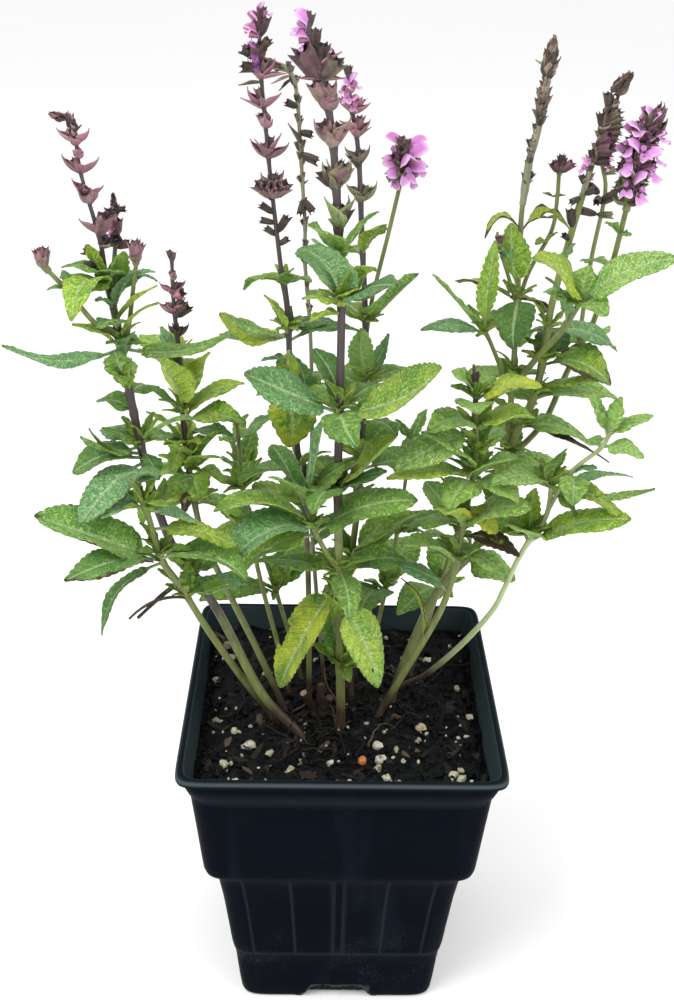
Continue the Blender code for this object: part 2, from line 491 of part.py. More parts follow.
def make_soil(parts, cutters, draw):
    """The potting soil, with perlite grains half sunk in its surface and holes for what stands in it."""
    walls = [height for height in INSIDE if height < SOIL_EDGE]
    heights = [walls[0] + MESH_GAP, *walls[1:]]
    rings = [square_ring(inner_half(wall) - MESH_GAP, height, side_power(wall))
             for wall, height in zip(walls, heights)]
    edge = inner_half(SOIL_EDGE) - MESH_GAP
    rings.append(square_ring(edge, SOIL_EDGE, side_power(SOIL_EDGE)))
    for share in SOIL_RINGS:
        flat = square_ring(edge * share, 0, 2 + share * 7)
        rings.append([(x, y, soil_height(x, y) if share > SOIL_RINGS[-1] else SOIL_EDGE + SOIL_MOUND)
                      for x, y, _ in flat])
    soil = make_object("potting_soil", loft(rings), parts, "soil")
    feet = [shoots[0].route for shoots in LEAFY_STEMS.values()] + [SPIKES["spent_stem"].route]
    grains = new_collection("perlite_grains", cutters)
    placed = []
    while len(placed) < GRAINS:
        x, y = (draw.uniform(-GRAIN_SPREAD, GRAIN_SPREAD) * edge for axis in range(2))
        clear_of_stems = all(math.dist((x, y), foot[1][:2]) > GRAIN_TO_STEM for foot in feet)
        clear_of_grains = all(math.dist((x, y), other) > GRAINS_APART for other in placed)
        if clear_of_stems and clear_of_grains and math.dist((x, y), CROWN_PLACE) > GRAIN_TO_CROWN:
            placed.append((x, y))
            grain = bmesh.new()
            size = draw.uniform(*GRAIN_SIZES)
            bmesh.ops.create_icosphere(grain, subdivisions=1, radius=size)
            bmesh.ops.rotate(grain, verts=grain.verts, cent=(0, 0, 0),
                             matrix=Matrix.Rotation(draw.uniform(0, math.pi), 3, "X"))
            bmesh.ops.scale(grain, verts=grain.verts, vec=(1, draw.uniform(0.7, 1), 0.8))
            bmesh.ops.translate(grain, verts=grain.verts, vec=(x, y, soil_height(x, y) - GRAIN_SUNK * size))
            make_object("grain", grain, grains)
    combine(soil, grains, "UNION")
    holes = new_collection("soil_holes", cutters)
    for shoots in LEAFY_STEMS.values():
        stem_hole(shoots[0].route, shoots[0].foot, holes)
    stem_hole(SPIKES["spent_stem"].route, SPIKES["spent_stem"].foot, holes)
    crown_hole = bmesh.new()
    corner = (CROWN_RADIUS + MESH_GAP) / math.cos(math.pi / CROWN_SIDES)
    depth = 3 * (CROWN_TOP - CROWN_FOOT)
    bmesh.ops.create_cone(crown_hole, cap_ends=True, segments=CROWN_SIDES, radius1=corner, radius2=corner,
                          depth=depth)
    bmesh.ops.translate(crown_hole, verts=crown_hole.verts,
                        vec=(*CROWN_PLACE, CROWN_FOOT - MESH_GAP + depth / 2))
    keep_cutter(make_object("crown_hole", crown_hole, holes))
    for quarter in range(4):
        keep_cutter(make_object("arch_space", turned(arch_block(WALL + MESH_GAP), quarter), holes))
    combine(soil, holes, "DIFFERENCE")


def tube(name, route, foot, tip, collection, material=None, resolution=0, start_gap=0.0):
    """A stem along a route that tapers from foot to tip, square unless its resolution is higher."""
    points = [Vector(point) for point in route]
    points[0] += (points[1] - points[0]).normalized() * start_gap
    curve = bpy.data.curves.new(name, "CURVE")
    curve.dimensions = "3D"
    curve.bevel_depth = foot * MM
    curve.bevel_resolution = resolution
    curve.use_fill_caps = True
    line = curve.splines.new("POLY")
    line.points.add(len(points) - 1)
    runs = [0.0]
    for a, b in zip(points, points[1:]):
        runs.append(runs[-1] + (b - a).length)
    for knot, point, run in zip(line.points, points, runs):
        knot.co = (*(point * MM), 1)
        knot.radius = 1 + (tip / foot - 1) * run / runs[-1]
    wire = bpy.data.objects.new(name + "_curve", curve)
    bpy.context.scene.collection.objects.link(wire)
    graph = bpy.context.evaluated_depsgraph_get()
    shape = bmesh.new()
    made = bpy.data.meshes.new_from_object(wire.evaluated_get(graph))
    shape.from_mesh(made)
    bmesh.ops.remove_doubles(shape, verts=shape.verts, dist=0.01 * MM)
    bmesh.ops.recalc_face_normals(shape, faces=shape.faces)
    bmesh.ops.scale(shape, vec=(1 / MM, 1 / MM, 1 / MM), verts=shape.verts)
    bpy.data.objects.remove(wire)
    bpy.data.meshes.remove(made)
    return make_object(name, shape, collection, material)


def stem_hole(route, foot, holes):
    """A plain square hole that follows the foot of a square stem, clear of it all round."""
    down = Vector(route[0]) - (Vector(route[1]) - Vector(route[0])).normalized() * 2 * MESH_GAP
    radius = foot + MESH_GAP * math.sqrt(2)
    keep_cutter(tube("stem_hole", [down, *route[1:3]], radius, radius, holes))


def make_crown(parts, cutters):
    """The woody knot that the plant grows from, with the stubs of cut stems."""
    knot = bmesh.new()
    depth = CROWN_TOP - CROWN_FOOT
    bmesh.ops.create_cone(knot, cap_ends=True, segments=CROWN_SIDES, radius1=CROWN_RADIUS,
                          radius2=CROWN_RADIUS * CROWN_TAPER, depth=depth)
    bmesh.ops.translate(knot, verts=knot.verts, vec=(*CROWN_PLACE, CROWN_FOOT + depth / 2))
    crown = make_object("crown", knot, parts, "crown")
    stubs = new_collection("crown_stubs", cutters)
    root = Vector((*CROWN_PLACE, CROWN_TOP - STUB_ROOT))
    for compass, rise, reach in STUBS:
        tube("stub", [root, root + heading(compass, rise) * reach], *STUB_RADII, stubs, resolution=1)
    combine(crown, stubs, "UNION")


# Blades: the leaves, bracts, calyces and petals.

def heading(compass, rise):
    """The unit direction of a compass angle and a rise in degrees."""
    turn, lift = math.radians(compass), math.radians(rise)
    return Vector((math.cos(turn) * math.cos(lift), math.sin(turn) * math.cos(lift), math.sin(lift)))


def on_route(route, height):
    """The point of a route at a height, a little below its end at most."""
    height = min(height, route[-1][2] - ROOTED)
    for lower, upper in zip(route, route[1:]):
        if lower[2] <= height <= upper[2]:
            return Vector(lower).lerp(Vector(upper), (height - lower[2]) / (upper[2] - lower[2]))
    return Vector(route[0])


def lens_template(cells, folded):
    """A flat closed lens with x from 0 to 1 along, y from -1 to 1 across, and z its layer, 1 or -1.

    A folded lens has a row of points along the middle of both faces, and a plain one only on its keel below.
    """
    lens = bmesh.new()
    for layer in (1, -1):
        rows = 2 if folded or layer < 0 else 1
        made = bmesh.ops.create_grid(lens, x_segments=cells, y_segments=rows, size=1)["verts"]
        for vertex in made:
            vertex.co.x = (vertex.co.x + 1) / 2
            if abs(vertex.co.y) < 0.5 and 0.01 < vertex.co.x < 0.99:
                vertex.co.z = layer
            if not 0.01 < vertex.co.x < 0.99:
                vertex.co.y = 0
        if layer < 0:
            below = {face for vertex in made for face in vertex.link_faces}
            bmesh.ops.reverse_faces(lens, faces=list(below))
    bmesh.ops.triangulate(lens, faces=lens.faces, quad_method="FIXED")
    bmesh.ops.remove_doubles(lens, verts=lens.verts, dist=1e-4)
    lens.verts.index_update()
    return lens


def row_share(row, cells, first):
    """How far along a blade a row of its points lies: the second row is where it leaves the stem."""
    if cells == 2:
        return row / 2
    return 0 if row == 0 else first + (1 - first) * (row - 1) / (cells - 1)


def blade_points(lens, root, blade, neck, grow_thick=0.0, grow_width=0.0):
    """Where a lens template's points lie once it is the blade, and how far along it each of them is."""
    along = heading(blade.compass, blade.rise)
    side = UP.cross(along).normalized()
    over = along.cross(side)
    first = neck / blade.length
    stalk = PETIOLE if blade.teeth else first
    points, shares = [], []
    for vertex in lens.verts:
        row = round(vertex.co.x * blade.cells)
        share = row_share(row, blade.cells, first)
        spread = min(1.0, max(0.0, (share - stalk) / (1 - stalk)))
        half = blade.width / 2 * spread ** BASE_CURVE * (1 - spread) ** TIP_CURVE / FULLEST
        if blade.teeth and row > 1:
            half *= 1 - TOOTH if (row + blade.cells) % 2 else 1 + TOOTH
        half = max(half, NARROWEST) + grow_width / 2
        lift = (blade.arch * blade.length * 4 * share * (1 - share) + blade.fold * half * abs(vertex.co.y)
                + vertex.co.z * (blade.thick * (1 - THINNING * share) + grow_thick) / 2)
        points.append(root + along * blade.length * share + side * half * vertex.co.y + over * lift)
        shares.append(share)
    return points, shares


def box_of(points):
    return [(min(p[axis] for p in points), max(p[axis] for p in points)) for axis in range(3)]


def boxes_meet(one, other):
    return all(a[0] < b[1] and b[0] < a[1] for a, b in zip(one, other))


class Planting:
    """Places blades one after another, each turned, tilted or shortened until it is clear of the others."""

    def __init__(self):
        self.lenses = {}
        self.taken = []     # node, box and tree of all that is placed

    def take(self, node, points, faces):
        self.taken.append((node, box_of(points), BVHTree.FromPolygons(points, faces)))

    def take_mesh(self, node, thing):
        points = [vertex.co / MM for vertex in thing.data.vertices]
        self.take(node, points, [list(face.vertices) for face in thing.data.polygons])

    def is_clear(self, node, points, shares, faces, crowded):
        """Whether a grown blade misses other nodes, and its outer part its own, unless it is in a crowd."""
        box = box_of(points)
        near = [row for row in self.taken if boxes_meet(box, row[1]) and not (crowded and row[0] == node)]
        if not near:
            return True
        whole = BVHTree.FromPolygons(points, faces)
        beyond = [face for face in faces if min(shares[i] for i in face) > ROOT_SHARE]
        outer = BVHTree.FromPolygons(points, beyond)
        return not any((outer if row[0] == node else whole).overlap(row[2]) for row in near)

    def place(self, node, root, blade, neck, pieces, turns=TURNS, tilts=TILTS, sizes=SHARES, crowded=False):
        """Adds the blade to its node's pieces in the first pose where it is clear, or leaves it out."""
        kind = (blade.cells, blade.fold > 0)
        if kind not in self.lenses:
            self.lenses[kind] = lens_template(*kind)
        lens = self.lenses[kind]
        faces = [[vertex.index for vertex in face.verts] for face in lens.faces]
        for size in sizes:
            for tilt in tilts:
                for turn in turns:
                    tried = blade._replace(
                        compass=blade.compass + turn, rise=min(STEEPEST, blade.rise + tilt),
                        length=blade.length * size, width=blade.width * size)
                    points, shares = blade_points(lens, root, tried, neck, CLEAR_THICK, CLEAR_WIDTH)
                    if not self.is_clear(node, points, shares, faces, crowded):
                        continue
                    points, _ = blade_points(lens, root, tried, neck)
                    self.take(node, points, faces)
                    shape = lens.copy()
                    for vertex, point in zip(shape.verts, points):
                        vertex.co = point
                    make_object("blade", shape, pieces)
                    return


def leaf(compass, rise, length, width, arch):
    """A leaf with crenate edges, in more cells the longer it is."""
    cells = next(count for shortest, count in LEAF_CELLS if length >= shortest)
    fold = LEAF_FOLD if length >= FOLDED_FROM else 0
    thick = LEAF_THICK if fold else LEAF_THICK * KEELED
    return Blade(compass, rise, length, width, arch, thick, fold, cells, True)


def rule_leaves(shoot):
    """Leaf rows for a stem whose leaves follow the rule of crossed pairs."""
    rows = []
    top = shoot.route[-1][2]
    steps = int((top - RULE_FIRST) / RULE_PITCH) + 1
    for step in range(steps):
        share = step / max(1, steps - 1)
        length = RULE_LENGTHS[0] + share * (RULE_LENGTHS[1] - RULE_LENGTHS[0])
        rise = RULE_RISES[0] + share * (RULE_RISES[1] - RULE_RISES[0])
        for turn in (0, 180):
            rows.append((RULE_FIRST + step * RULE_PITCH, RULE_COMPASS + 90 * step + turn, rise, length,
                         length * RULE_WIDTH, RULE_ARCH))
    compass, *tip = RULE_TIPS
    return rows + [(top, compass + turn, *tip) for turn in (0, 180)]


def whorl(spike, height, compass, size):
    """The blades of one whorl with their roots, from the rows of its kind, swayed so that they differ."""
    made = []
    for row in WHORLS[spike.kind]:
        for turn in row.turns:
            root = on_route(spike.route, height + WHORL_SPREAD * math.sin(5.1 * height + 2.3 * len(made)))
            sway = WHORL_TURN * math.sin(3.7 * height + 4.1 * len(made))
            made.append((root, Blade(compass + turn + sway, row.rise, size * row.length, size * row.width,
                                     row.arch, row.thick, row.fold, row.cells, False)))
    return made


def make_plant(parts, cutters):
    """All stems, leaves and spikes: the stems come first, then the whorls of the spikes, then the leaves."""
    planting = Planting()
    stems, pieces = {}, {}
    for node, shoots in LEAFY_STEMS.items():
        pieces[node] = new_collection(node + "_pieces", cutters)
        main = shoots[0]
        stems[node] = tube(node, main.route, main.foot, main.tip, parts, "leaf")
        planting.take_mesh(node, stems[node])
        for shoot in shoots[1:]:
            branch = tube(node + "_branch", shoot.route, shoot.foot, shoot.tip, pieces[node])
            planting.take_mesh(node, branch)
    for node, spike in SPIKES.items():
        pieces[node] = new_collection(node + "_pieces", cutters)
        in_soil = spike.route[0][2] < SOIL_EDGE
        stems[node] = tube(node, spike.route, spike.foot, spike.tip, parts, SPIKE_FINISHES[spike.kind],
                           start_gap=0 if in_soil else MESH_GAP)
        planting.take_mesh(node, stems[node])
    for node, spike in SPIKES.items():
        for height, compass, size in spike.whorls:
            for root, blade in whorl(spike, height, compass, size):
                planting.place(node, root, blade, spike.tip + WHORL_NECK, pieces[node],
                               WHORL_TURNS, WHORL_TILTS, WHORL_SHARES, crowded=True)
    for node, shoots in LEAFY_STEMS.items():
        for shoot in shoots:
            rows = rule_leaves(shoot) if node in RULE_STEMS else shoot.leaves
            for height, *row in rows:
                root = on_route(shoot.route, height)
                planting.place(node, root, leaf(*row), shoot.tip + LEAF_NECK, pieces[node])
    for node, stem in stems.items():
        combine(stem, pieces[node], "UNION")


def main():
    for thing in list(bpy.data.objects):
        bpy.data.objects.remove(thing)
    parts = new_collection("potted_meadow_sage", bpy.context.scene.collection)
    cutters = new_collection("cutters", bpy.context.scene.collection)
    draw = random.Random(SEED)
    make_pot(parts, cutters)
    make_soil(parts, cutters, draw)
    make_crown(parts, cutters)
    make_plant(parts, cutters)


main()
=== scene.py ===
"""The looks of a potted meadow sage: a black nursery pot of soil, leafy square stems and flower spikes.

Lengths are in millimetres while a piece is shaped, and MM turns them into metres when it is done. Compass
angles run from +X, the plant's right, towards +Y, its back, and a rise is the angle above level, in degrees.
"""

import json
import random
from collections import namedtuple
from functools import partial
from itertools import product
from math import asin, atan2, copysign, cos, degrees, dist, exp, hypot, pi, radians, sin, tau

import bmesh
import bpy
from bmesh.types import BMEdge, BMVert
from mathutils import Matrix, Vector, noise
from mathutils.kdtree import KDTree

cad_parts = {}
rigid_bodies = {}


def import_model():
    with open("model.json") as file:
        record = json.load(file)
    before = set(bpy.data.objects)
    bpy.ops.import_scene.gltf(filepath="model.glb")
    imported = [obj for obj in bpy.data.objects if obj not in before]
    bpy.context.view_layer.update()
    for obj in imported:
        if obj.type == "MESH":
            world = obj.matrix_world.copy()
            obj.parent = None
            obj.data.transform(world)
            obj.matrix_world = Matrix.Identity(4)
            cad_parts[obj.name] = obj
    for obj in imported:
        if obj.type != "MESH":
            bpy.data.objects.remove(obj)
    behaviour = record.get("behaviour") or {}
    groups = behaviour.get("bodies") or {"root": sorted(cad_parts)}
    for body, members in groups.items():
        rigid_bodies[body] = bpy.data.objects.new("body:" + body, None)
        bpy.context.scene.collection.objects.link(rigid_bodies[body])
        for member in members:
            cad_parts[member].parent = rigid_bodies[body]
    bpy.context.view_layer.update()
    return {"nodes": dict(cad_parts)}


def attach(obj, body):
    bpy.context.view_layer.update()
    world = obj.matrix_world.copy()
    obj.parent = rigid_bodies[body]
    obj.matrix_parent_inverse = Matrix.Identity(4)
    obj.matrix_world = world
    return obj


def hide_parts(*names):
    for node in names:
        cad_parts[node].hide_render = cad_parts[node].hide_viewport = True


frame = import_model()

MM = 0.001
UP = Vector((0, 0, 1))
scene = bpy.context.scene


# The view: the photograph was taken by hand from in front of the plant and a little above it, so the pot
# narrows towards its base and the soil shows. The lens is for a film side of 36 mm.
VIEW_FROM = (-0.00876, -0.38273, 0.40066)
VIEW_DOWN, VIEW_TURN, VIEW_ROLL = 27.35, 0.88, 1.11
VIEW_LENS = 44.41

view = bpy.data.cameras.new("view")
view.lens, view.sensor_width = VIEW_LENS, 36
camera = bpy.data.objects.new("view", view)
camera.matrix_world = (
    Matrix.Translation(VIEW_FROM) @ Matrix.Rotation(radians(-VIEW_TURN), 4, "Z")
    @ Matrix.Rotation(radians(90 - VIEW_DOWN), 4, "X") @ Matrix.Rotation(radians(VIEW_ROLL), 4, "Z"))
scene.collection.objects.link(camera)
scene.camera = camera
scene.view_settings.view_transform = "Standard"


# The studio: a plain white floor under an even white sky, a large soft lamp high on the left and a weaker
# one on the right, so that the plant stands before white with hardly a shadow.
SKY_STRENGTH = 1
FLOOR_REACH = 6
LAMPS = {"lamp_left": ((-0.7, -0.5, 1.2), 0.9, 12), "lamp_right": ((0.9, -0.4, 0.8), 0.8, 5)}
LAMP_AIM = Vector((0, 0, 0.2))


def put(tree, kind, inputs=(), **settings):
    """Adds a shader node, sets it, and gives each named input its value or its link."""
    step = tree.nodes.new("ShaderNode" + kind)
    for name, value in settings.items():
        setattr(step, name, value)
    for name, value in dict(inputs).items():
        if isinstance(value, bpy.types.NodeSocket):
            tree.links.new(value, step.inputs[name])
        else:
            step.inputs[name].default_value = value
    return step


def mixed(share, one, other):
    """Two colours mixed by a share of the second."""
    colours = {key: value if isinstance(value, bpy.types.NodeSocket) else (*value, 1)
               for key, value in ((6, one), (7, other))}
    return put(share.id_data, "Mix", {0: share, **colours}, data_type="RGBA").outputs[2]


def clouds(place, scale, detail=2, roughness=0.5):
    """Soft noise about 0.5, in patches that are smaller the larger the scale."""
    return put(place.id_data, "TexNoise", {
        "Vector": place, "Scale": scale, "Detail": detail, "Roughness": roughness}).outputs[0]


def new_finish(name, roughness, **inputs):
    """A material, its Principled shader with plain values on its own sockets, and where on the object it is."""
    material = bpy.data.materials.new(name)
    material.use_nodes = True
    shader = material.node_tree.nodes["Principled BSDF"]
    shader.inputs["Roughness"].default_value = roughness
    for key, value in inputs.items():
        shader.inputs[key.replace("_", " ").title().replace("Ior", "IOR")].default_value = value
    return material, shader, put(material.node_tree, "TexCoord").outputs["Object"]


def finish_with(shader, colour, roughness=None, height=None, depth=0.0002, strength=1):
    """Links a colour, and where given a roughness and a bump of a depth in metres, to the shader."""
    tree = shader.id_data
    tree.links.new(colour, shader.inputs["Base Color"])
    if roughness:
        tree.links.new(roughness, shader.inputs["Roughness"])
    if height:
        bump = put(tree, "Bump", {"Height": height, "Distance": depth, "Strength": strength})
        tree.links.new(bump.outputs[0], shader.inputs["Normal"])


def make_piece(name, shape, material, slot=None, replaces=(), sharp=50):
    """A piece from a bmesh in millimetres, which it frees: smooth, but for edges sharper than an angle."""
    bmesh.ops.scale(shape, vec=(MM, MM, MM), verts=shape.verts)
    mesh = bpy.data.meshes.new(name)
    shape.to_mesh(mesh)
    shape.free()
    mesh.shade_smooth()
    mesh.set_sharp_from_angle(angle=radians(sharp))
    mesh.materials.append(material)
    piece = bpy.data.objects.new(name, mesh)
    scene.collection.objects.link(piece)
    if slot:
        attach(piece, "root")
    if replaces:
        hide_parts(*replaces)
    return piece


floor = bmesh.new()
bmesh.ops.create_grid(floor, x_segments=1, y_segments=1, size=FLOOR_REACH / MM)
floor_paint, shader, place = new_finish("floor_paint", 0.8, specular_ior_level=0.1)
finish_with(shader, mixed(clouds(place, 2), (0.93, 0.93, 0.93), (0.96, 0.96, 0.96)))
make_piece("floor", floor, floor_paint)

sky = bpy.data.worlds.new("sky")
sky.use_nodes = True
sky.node_tree.nodes["Background"].inputs["Color"].default_value = (1, 1, 1, 1)
sky.node_tree.nodes["Background"].inputs["Strength"].default_value = SKY_STRENGTH
scene.world = sky
for name, (place, size, power) in LAMPS.items():
    light = bpy.data.lights.new(name, "AREA")
    light.shape, light.size, light.energy = "DISK", size, power
    lamp = bpy.data.objects.new(name, light)
    lamp.location = place
    lamp.rotation_euler = (LAMP_AIM - lamp.location).to_track_quat("-Z", "Y").to_euler()
    scene.collection.objects.link(lamp)


# The pot: a square nursery pot of thin black polypropylene, moulded in one piece. Its rim is rolled into a
# flange, its foot is drawn in below a shoulder with shallow vertical panels, and an arch in the middle of
# each side's base keeps a drain hole open.
POT_HEIGHT, WALL = 124, 1
SHARP_SIDES, SOFT_SIDES = 22, 13        # powers of the superellipses at the rim and down the wall
FLANGE_FOOT = 120
POT_RINGS = [                            # half width and height, up the outside and down the inside
    (36.4, 0), (37.3, 0.4), (37.8, 1.2), (38.2, 2.6), (38.8, 8), (39.8, 20), (40.4, 25.2), (40.8, 26.4),
    (41.1, 28), (41.4, 30), (42.2, 38), (44, 55), (45.6, 66), (46.2, 68.8), (47, 70.2), (48.6, 71.6),
    (49.9, 73.2), (50.4, 75), (50.7, 78), (52.2, 95), (53.6, 110), (53.9, 112.6), (54.5, 113.6),
    (55.1, 118), (55.4, FLANGE_FOOT), (55.6, 121.2), (56.8, 121.4), (57.3, 121.7), (57.5, 122.4),
    (57.4, 123.2), (57.1, 123.7), (56.5, POT_HEIGHT), (55.3, POT_HEIGHT), (54.7, 123.7), (54.5, 123),
    (54.2, 119), (52.9, 112), (49.4, 75), (45.4, 70), (42.4, 52), (39.2, 27), (36.2, 1.2)]
OUTER_RINGS, RIM_RING = 27, 32
PANELS = [(-0.78, -0.395), (0.395, 0.78)]       # recessed panels of the foot, as shares of a side's half
PANEL_FOOT, PANEL_TOP, PANEL_DEPTH, PANEL_EDGE = 27.2, 69.4, 0.4, 0.022
RIB_HALF, RIB_HEIGHT = 0.04, 0.35
SIDE_SHARES = sorted({round(sign * share, 4) for sign in (-1, 1) for share in (
    0, 0.02, 0.033, 0.047, 0.08, 0.16, 0.26, 0.34, 0.375, 0.39, 0.4, 0.415, 0.46, 0.56, 0.66, 0.73, 0.76, 0.775,
    0.785, 0.8, 0.84, 0.875, 0.9, 0.92, 0.94, 0.955, 0.968, 0.98, 0.99)} | {-1})
ARCH_HEIGHT, ARCH_FOOT, ARCH_DEPTH, DRAIN_RADIUS = 7.3, 15, 12, 2.6
ARCH_WALL = 38                          # how far out the pot's wall is at the arches
ARCH_SLOPE = [(-13.6, 0.7), (-12.3, 2.4), (-10.8, 4.9), (-9.6, 6.3), (-8.2, 7), (-6.6, 7.3)]
ARCH_BUMP = [(-3, 7.2), (-1.8, 6.4), (-0.9, 5.1), (0.5, 5), (1.2, 6.2), (2.2, 7)]
CUT_PAST, MESH_GAP = 2, 0.3
# The painted highlight of the creases and folds: its half width across a crease, its half height at a fold, and
# the folds' heights.
CREASE_HALF, FOLD_HALF, FOLDS = 0.016, 1.3, (26.4, 70.2, 113.2)
# The creases carry their painted highlight below the first height; above the second, a painted highlight lies
# along the rim's rolled lip, between the two half widths.
CREASED_BELOW, LIP_HIGHLIGHT_ABOVE, LIP_HIGHLIGHT = 118, 123, (56.3, 57.2)
FLAT_WITHIN = 35                        # edges sharper than this many degrees stay sharp after a cut


def calc(operation, *values):
    """One step of arithmetic on sockets and numbers, in the tree of its first socket."""
    tree = next(value for value in values if isinstance(value, bpy.types.NodeSocket)).id_data
    return put(tree, "Math", dict(enumerate(values)), operation=operation).outputs[0]


times, plus, minus = (partial(calc, operation) for operation in ("MULTIPLY", "ADD", "SUBTRACT"))


def fade(value, start, end):
    """A soft step of a socket from 0 to 1 as its value goes from start to end, which may be the lower one."""
    return put(value.id_data, "MapRange", {"Value": value, "From Min": start, "From Max": end},
               interpolation_type="SMOOTHSTEP").outputs[0]


def coated(colour, *coats):
    """A colour under coats, each a mask and the colour that it lays on."""
    for mask, coat in coats:
        colour = mixed(mask, colour, coat)
    return colour


def stretched(place, scale, turn=0):
    """A place for noise that is drawn out along an axis."""
    return put(place.id_data, "Mapping", {
        "Vector": place, "Scale": scale, "Rotation": (0, 0, turn)}).outputs[0]


def tints_of(shader):
    """The four values of a vertex's own tint."""
    look = put(shader.id_data, "Attribute", attribute_name="tint").outputs
    return *put(shader.id_data, "SeparateColor", {0: look["Color"]}).outputs, look["Alpha"]


def new_group(name, inputs, outputs):
    """An empty node group, with inputs of named kinds and numbers as outputs: its tree and both ends."""
    group = bpy.data.node_groups.new(name, "ShaderNodeTree")
    for label, kind in inputs.items():
        group.interface.new_socket(label, in_out="INPUT", socket_type="NodeSocket" + kind)
    for label in outputs:
        group.interface.new_socket(label, in_out="OUTPUT", socket_type="NodeSocketFloat")
    given = group.nodes.new("NodeGroupInput").outputs
    return group, [given[label] for label in inputs], group.nodes.new("NodeGroupOutput").inputs


def new_shape():
    """An empty bmesh with a layer for a colour that differs from place to place, and one for a blade's UV."""
    shape = bmesh.new()
    shape.verts.layers.float_color.new("tint")
    shape.loops.layers.uv.new("blade")
    return shape


def only(kind, things):
    """The vertices, or the edges, among the things that an operator made."""
    return [thing for thing in things if isinstance(thing, kind)]


def smoothed(value, start, end):
    """A soft step from 0 to 1 as a value goes from start to end."""
    share = min(1, max(0, (value - start) / (end - start)))
    return share * share * (3 - 2 * share)


def power_at(height):
    """How square the pot is at a height."""
    return SOFT_SIDES + (SHARP_SIDES - SOFT_SIDES) * smoothed(height, 112, FLANGE_FOOT)


def panel_depth(share, height):
    """How far the moulded panels stand back from the pot's side, or the middle rib before it."""
    across = sum(smoothed(share, left - PANEL_EDGE, left) * smoothed(share, right + PANEL_EDGE, right)
                 for left, right in PANELS)
    along = smoothed(height, PANEL_FOOT, PANEL_FOOT + 1.6) * smoothed(height, PANEL_TOP, PANEL_TOP - 4)
    rib = smoothed(abs(share), RIB_HALF + 0.015, RIB_HALF - 0.01)
    return (PANEL_DEPTH * across - RIB_HEIGHT * rib) * along


def crease_highlight_at(share, height):
    """How much of the painted highlight along a crease or fold a place of the pot's side shows."""
    lines = [edge for panel in PANELS for edge in panel] + [-RIB_HALF, RIB_HALF]
    upright = max(1 - abs(share - line) / CREASE_HALF for line in lines)
    upright *= smoothed(height, PANEL_FOOT - 1, PANEL_FOOT + 1) * smoothed(height, PANEL_TOP + 1, PANEL_TOP - 1)
    folds = max(1 - abs(height - fold) / FOLD_HALF for fold in FOLDS)
    return max(0, upright, 0.7 * folds)


def stacked_rings(shape, sides, rings):
    """A tube of stacked circles of radius 1, one for each whole height from 0, with both ends closed."""
    bmesh.ops.create_circle(shape, segments=sides, radius=1)
    edges = list(shape.edges)
    bmesh.ops.contextual_create(shape, geom=edges)
    for _ in range(rings - 1):
        made = bmesh.ops.extrude_edge_only(shape, edges=edges)["geom"]
        bmesh.ops.translate(shape, verts=only(BMVert, made), vec=(0, 0, 1))
        top = max(vertex.co.z for vertex in only(BMVert, made))
        edges = [edge for edge in only(BMEdge, made) if all(vertex.co.z > top - 0.5 for vertex in edge.verts)]
    bmesh.ops.contextual_create(shape, geom=edges)
    bmesh.ops.recalc_face_normals(shape, faces=shape.faces)


def square_reach(angle, half, power):
    """How far a rounded square of a half width reaches at an angle."""
    return half / (abs(cos(angle)) ** power + abs(sin(angle)) ** power) ** (1 / power)


def arch_block(grow):
    """The drain arch of the front side as a solid, larger all round by grow, running in from the wall."""
    top = ARCH_HEIGHT + grow
    bottom, outer = (WALL / 2, MESH_GAP - ARCH_WALL) if grow else (-CUT_PAST, -ARCH_WALL - CUT_PAST)
    slope = ARCH_SLOPE[-3::2] if grow else ARCH_SLOPE
    left = [(x - grow, min(top, z + grow)) for x, z in slope]
    outline = [(-ARCH_FOOT - grow, bottom), *left, *([] if grow else ARCH_BUMP),
               *[(-x, z) for x, z in reversed(left)], (ARCH_FOOT + grow, bottom)]
    block = bmesh.new()
    face = block.faces.new([block.verts.new((x, outer, z)) for x, z in outline])
    pushed = bmesh.ops.extrude_face_region(block, geom=[face])["geom"]
    for vertex in only(BMVert, pushed):
        vertex.co.y = grow + ARCH_DEPTH - ARCH_WALL
    bmesh.ops.recalc_face_normals(block, faces=block.faces)
    return block


def joined(piece, blocks, operation):
    """Joins or cuts a piece with blocks in the four sides of the pot, in one Boolean."""
    group = bpy.data.collections.new(operation.lower())
    for number, block in enumerate(blocks):
        bmesh.ops.scale(block, vec=(MM, MM, MM), verts=block.verts)
        bmesh.ops.rotate(block, verts=block.verts, cent=(0, 0, 0),
                         matrix=Matrix.Rotation(number % 4 * pi / 2, 3, "Z"))
        mesh = bpy.data.meshes.new("block")
        block.to_mesh(mesh)
        block.free()
        group.objects.link(bpy.data.objects.new("block", mesh))
    step = piece.modifiers.new(operation.lower(), "BOOLEAN")
    step.operation, step.operand_type, step.collection, step.solver = operation, "COLLECTION", group, "MANIFOLD"
    made = bpy.data.meshes.new_from_object(piece.evaluated_get(bpy.context.evaluated_depsgraph_get()))
    piece.modifiers.remove(step)
    piece.data = made
    for thing in list(group.objects):
        bpy.data.objects.remove(thing)
    bpy.data.collections.remove(group)
    made.set_sharp_from_angle(angle=radians(FLAT_WITHIN))


def drain_hole():
    """The round hole that runs in from the front side's arch, as a solid."""
    hole = bmesh.new()
    bmesh.ops.create_cone(hole, cap_ends=True, segments=24, radius1=DRAIN_RADIUS, radius2=DRAIN_RADIUS,
                          depth=3 * WALL + ARCH_DEPTH)
    bmesh.ops.rotate(hole, verts=hole.verts, cent=(0, 0, 0), matrix=Matrix.Rotation(pi / 2, 3, "X"))
    bmesh.ops.translate(hole, verts=hole.verts, vec=(0, ARCH_DEPTH / 2 - ARCH_WALL, ARCH_HEIGHT / 2))
    return hole


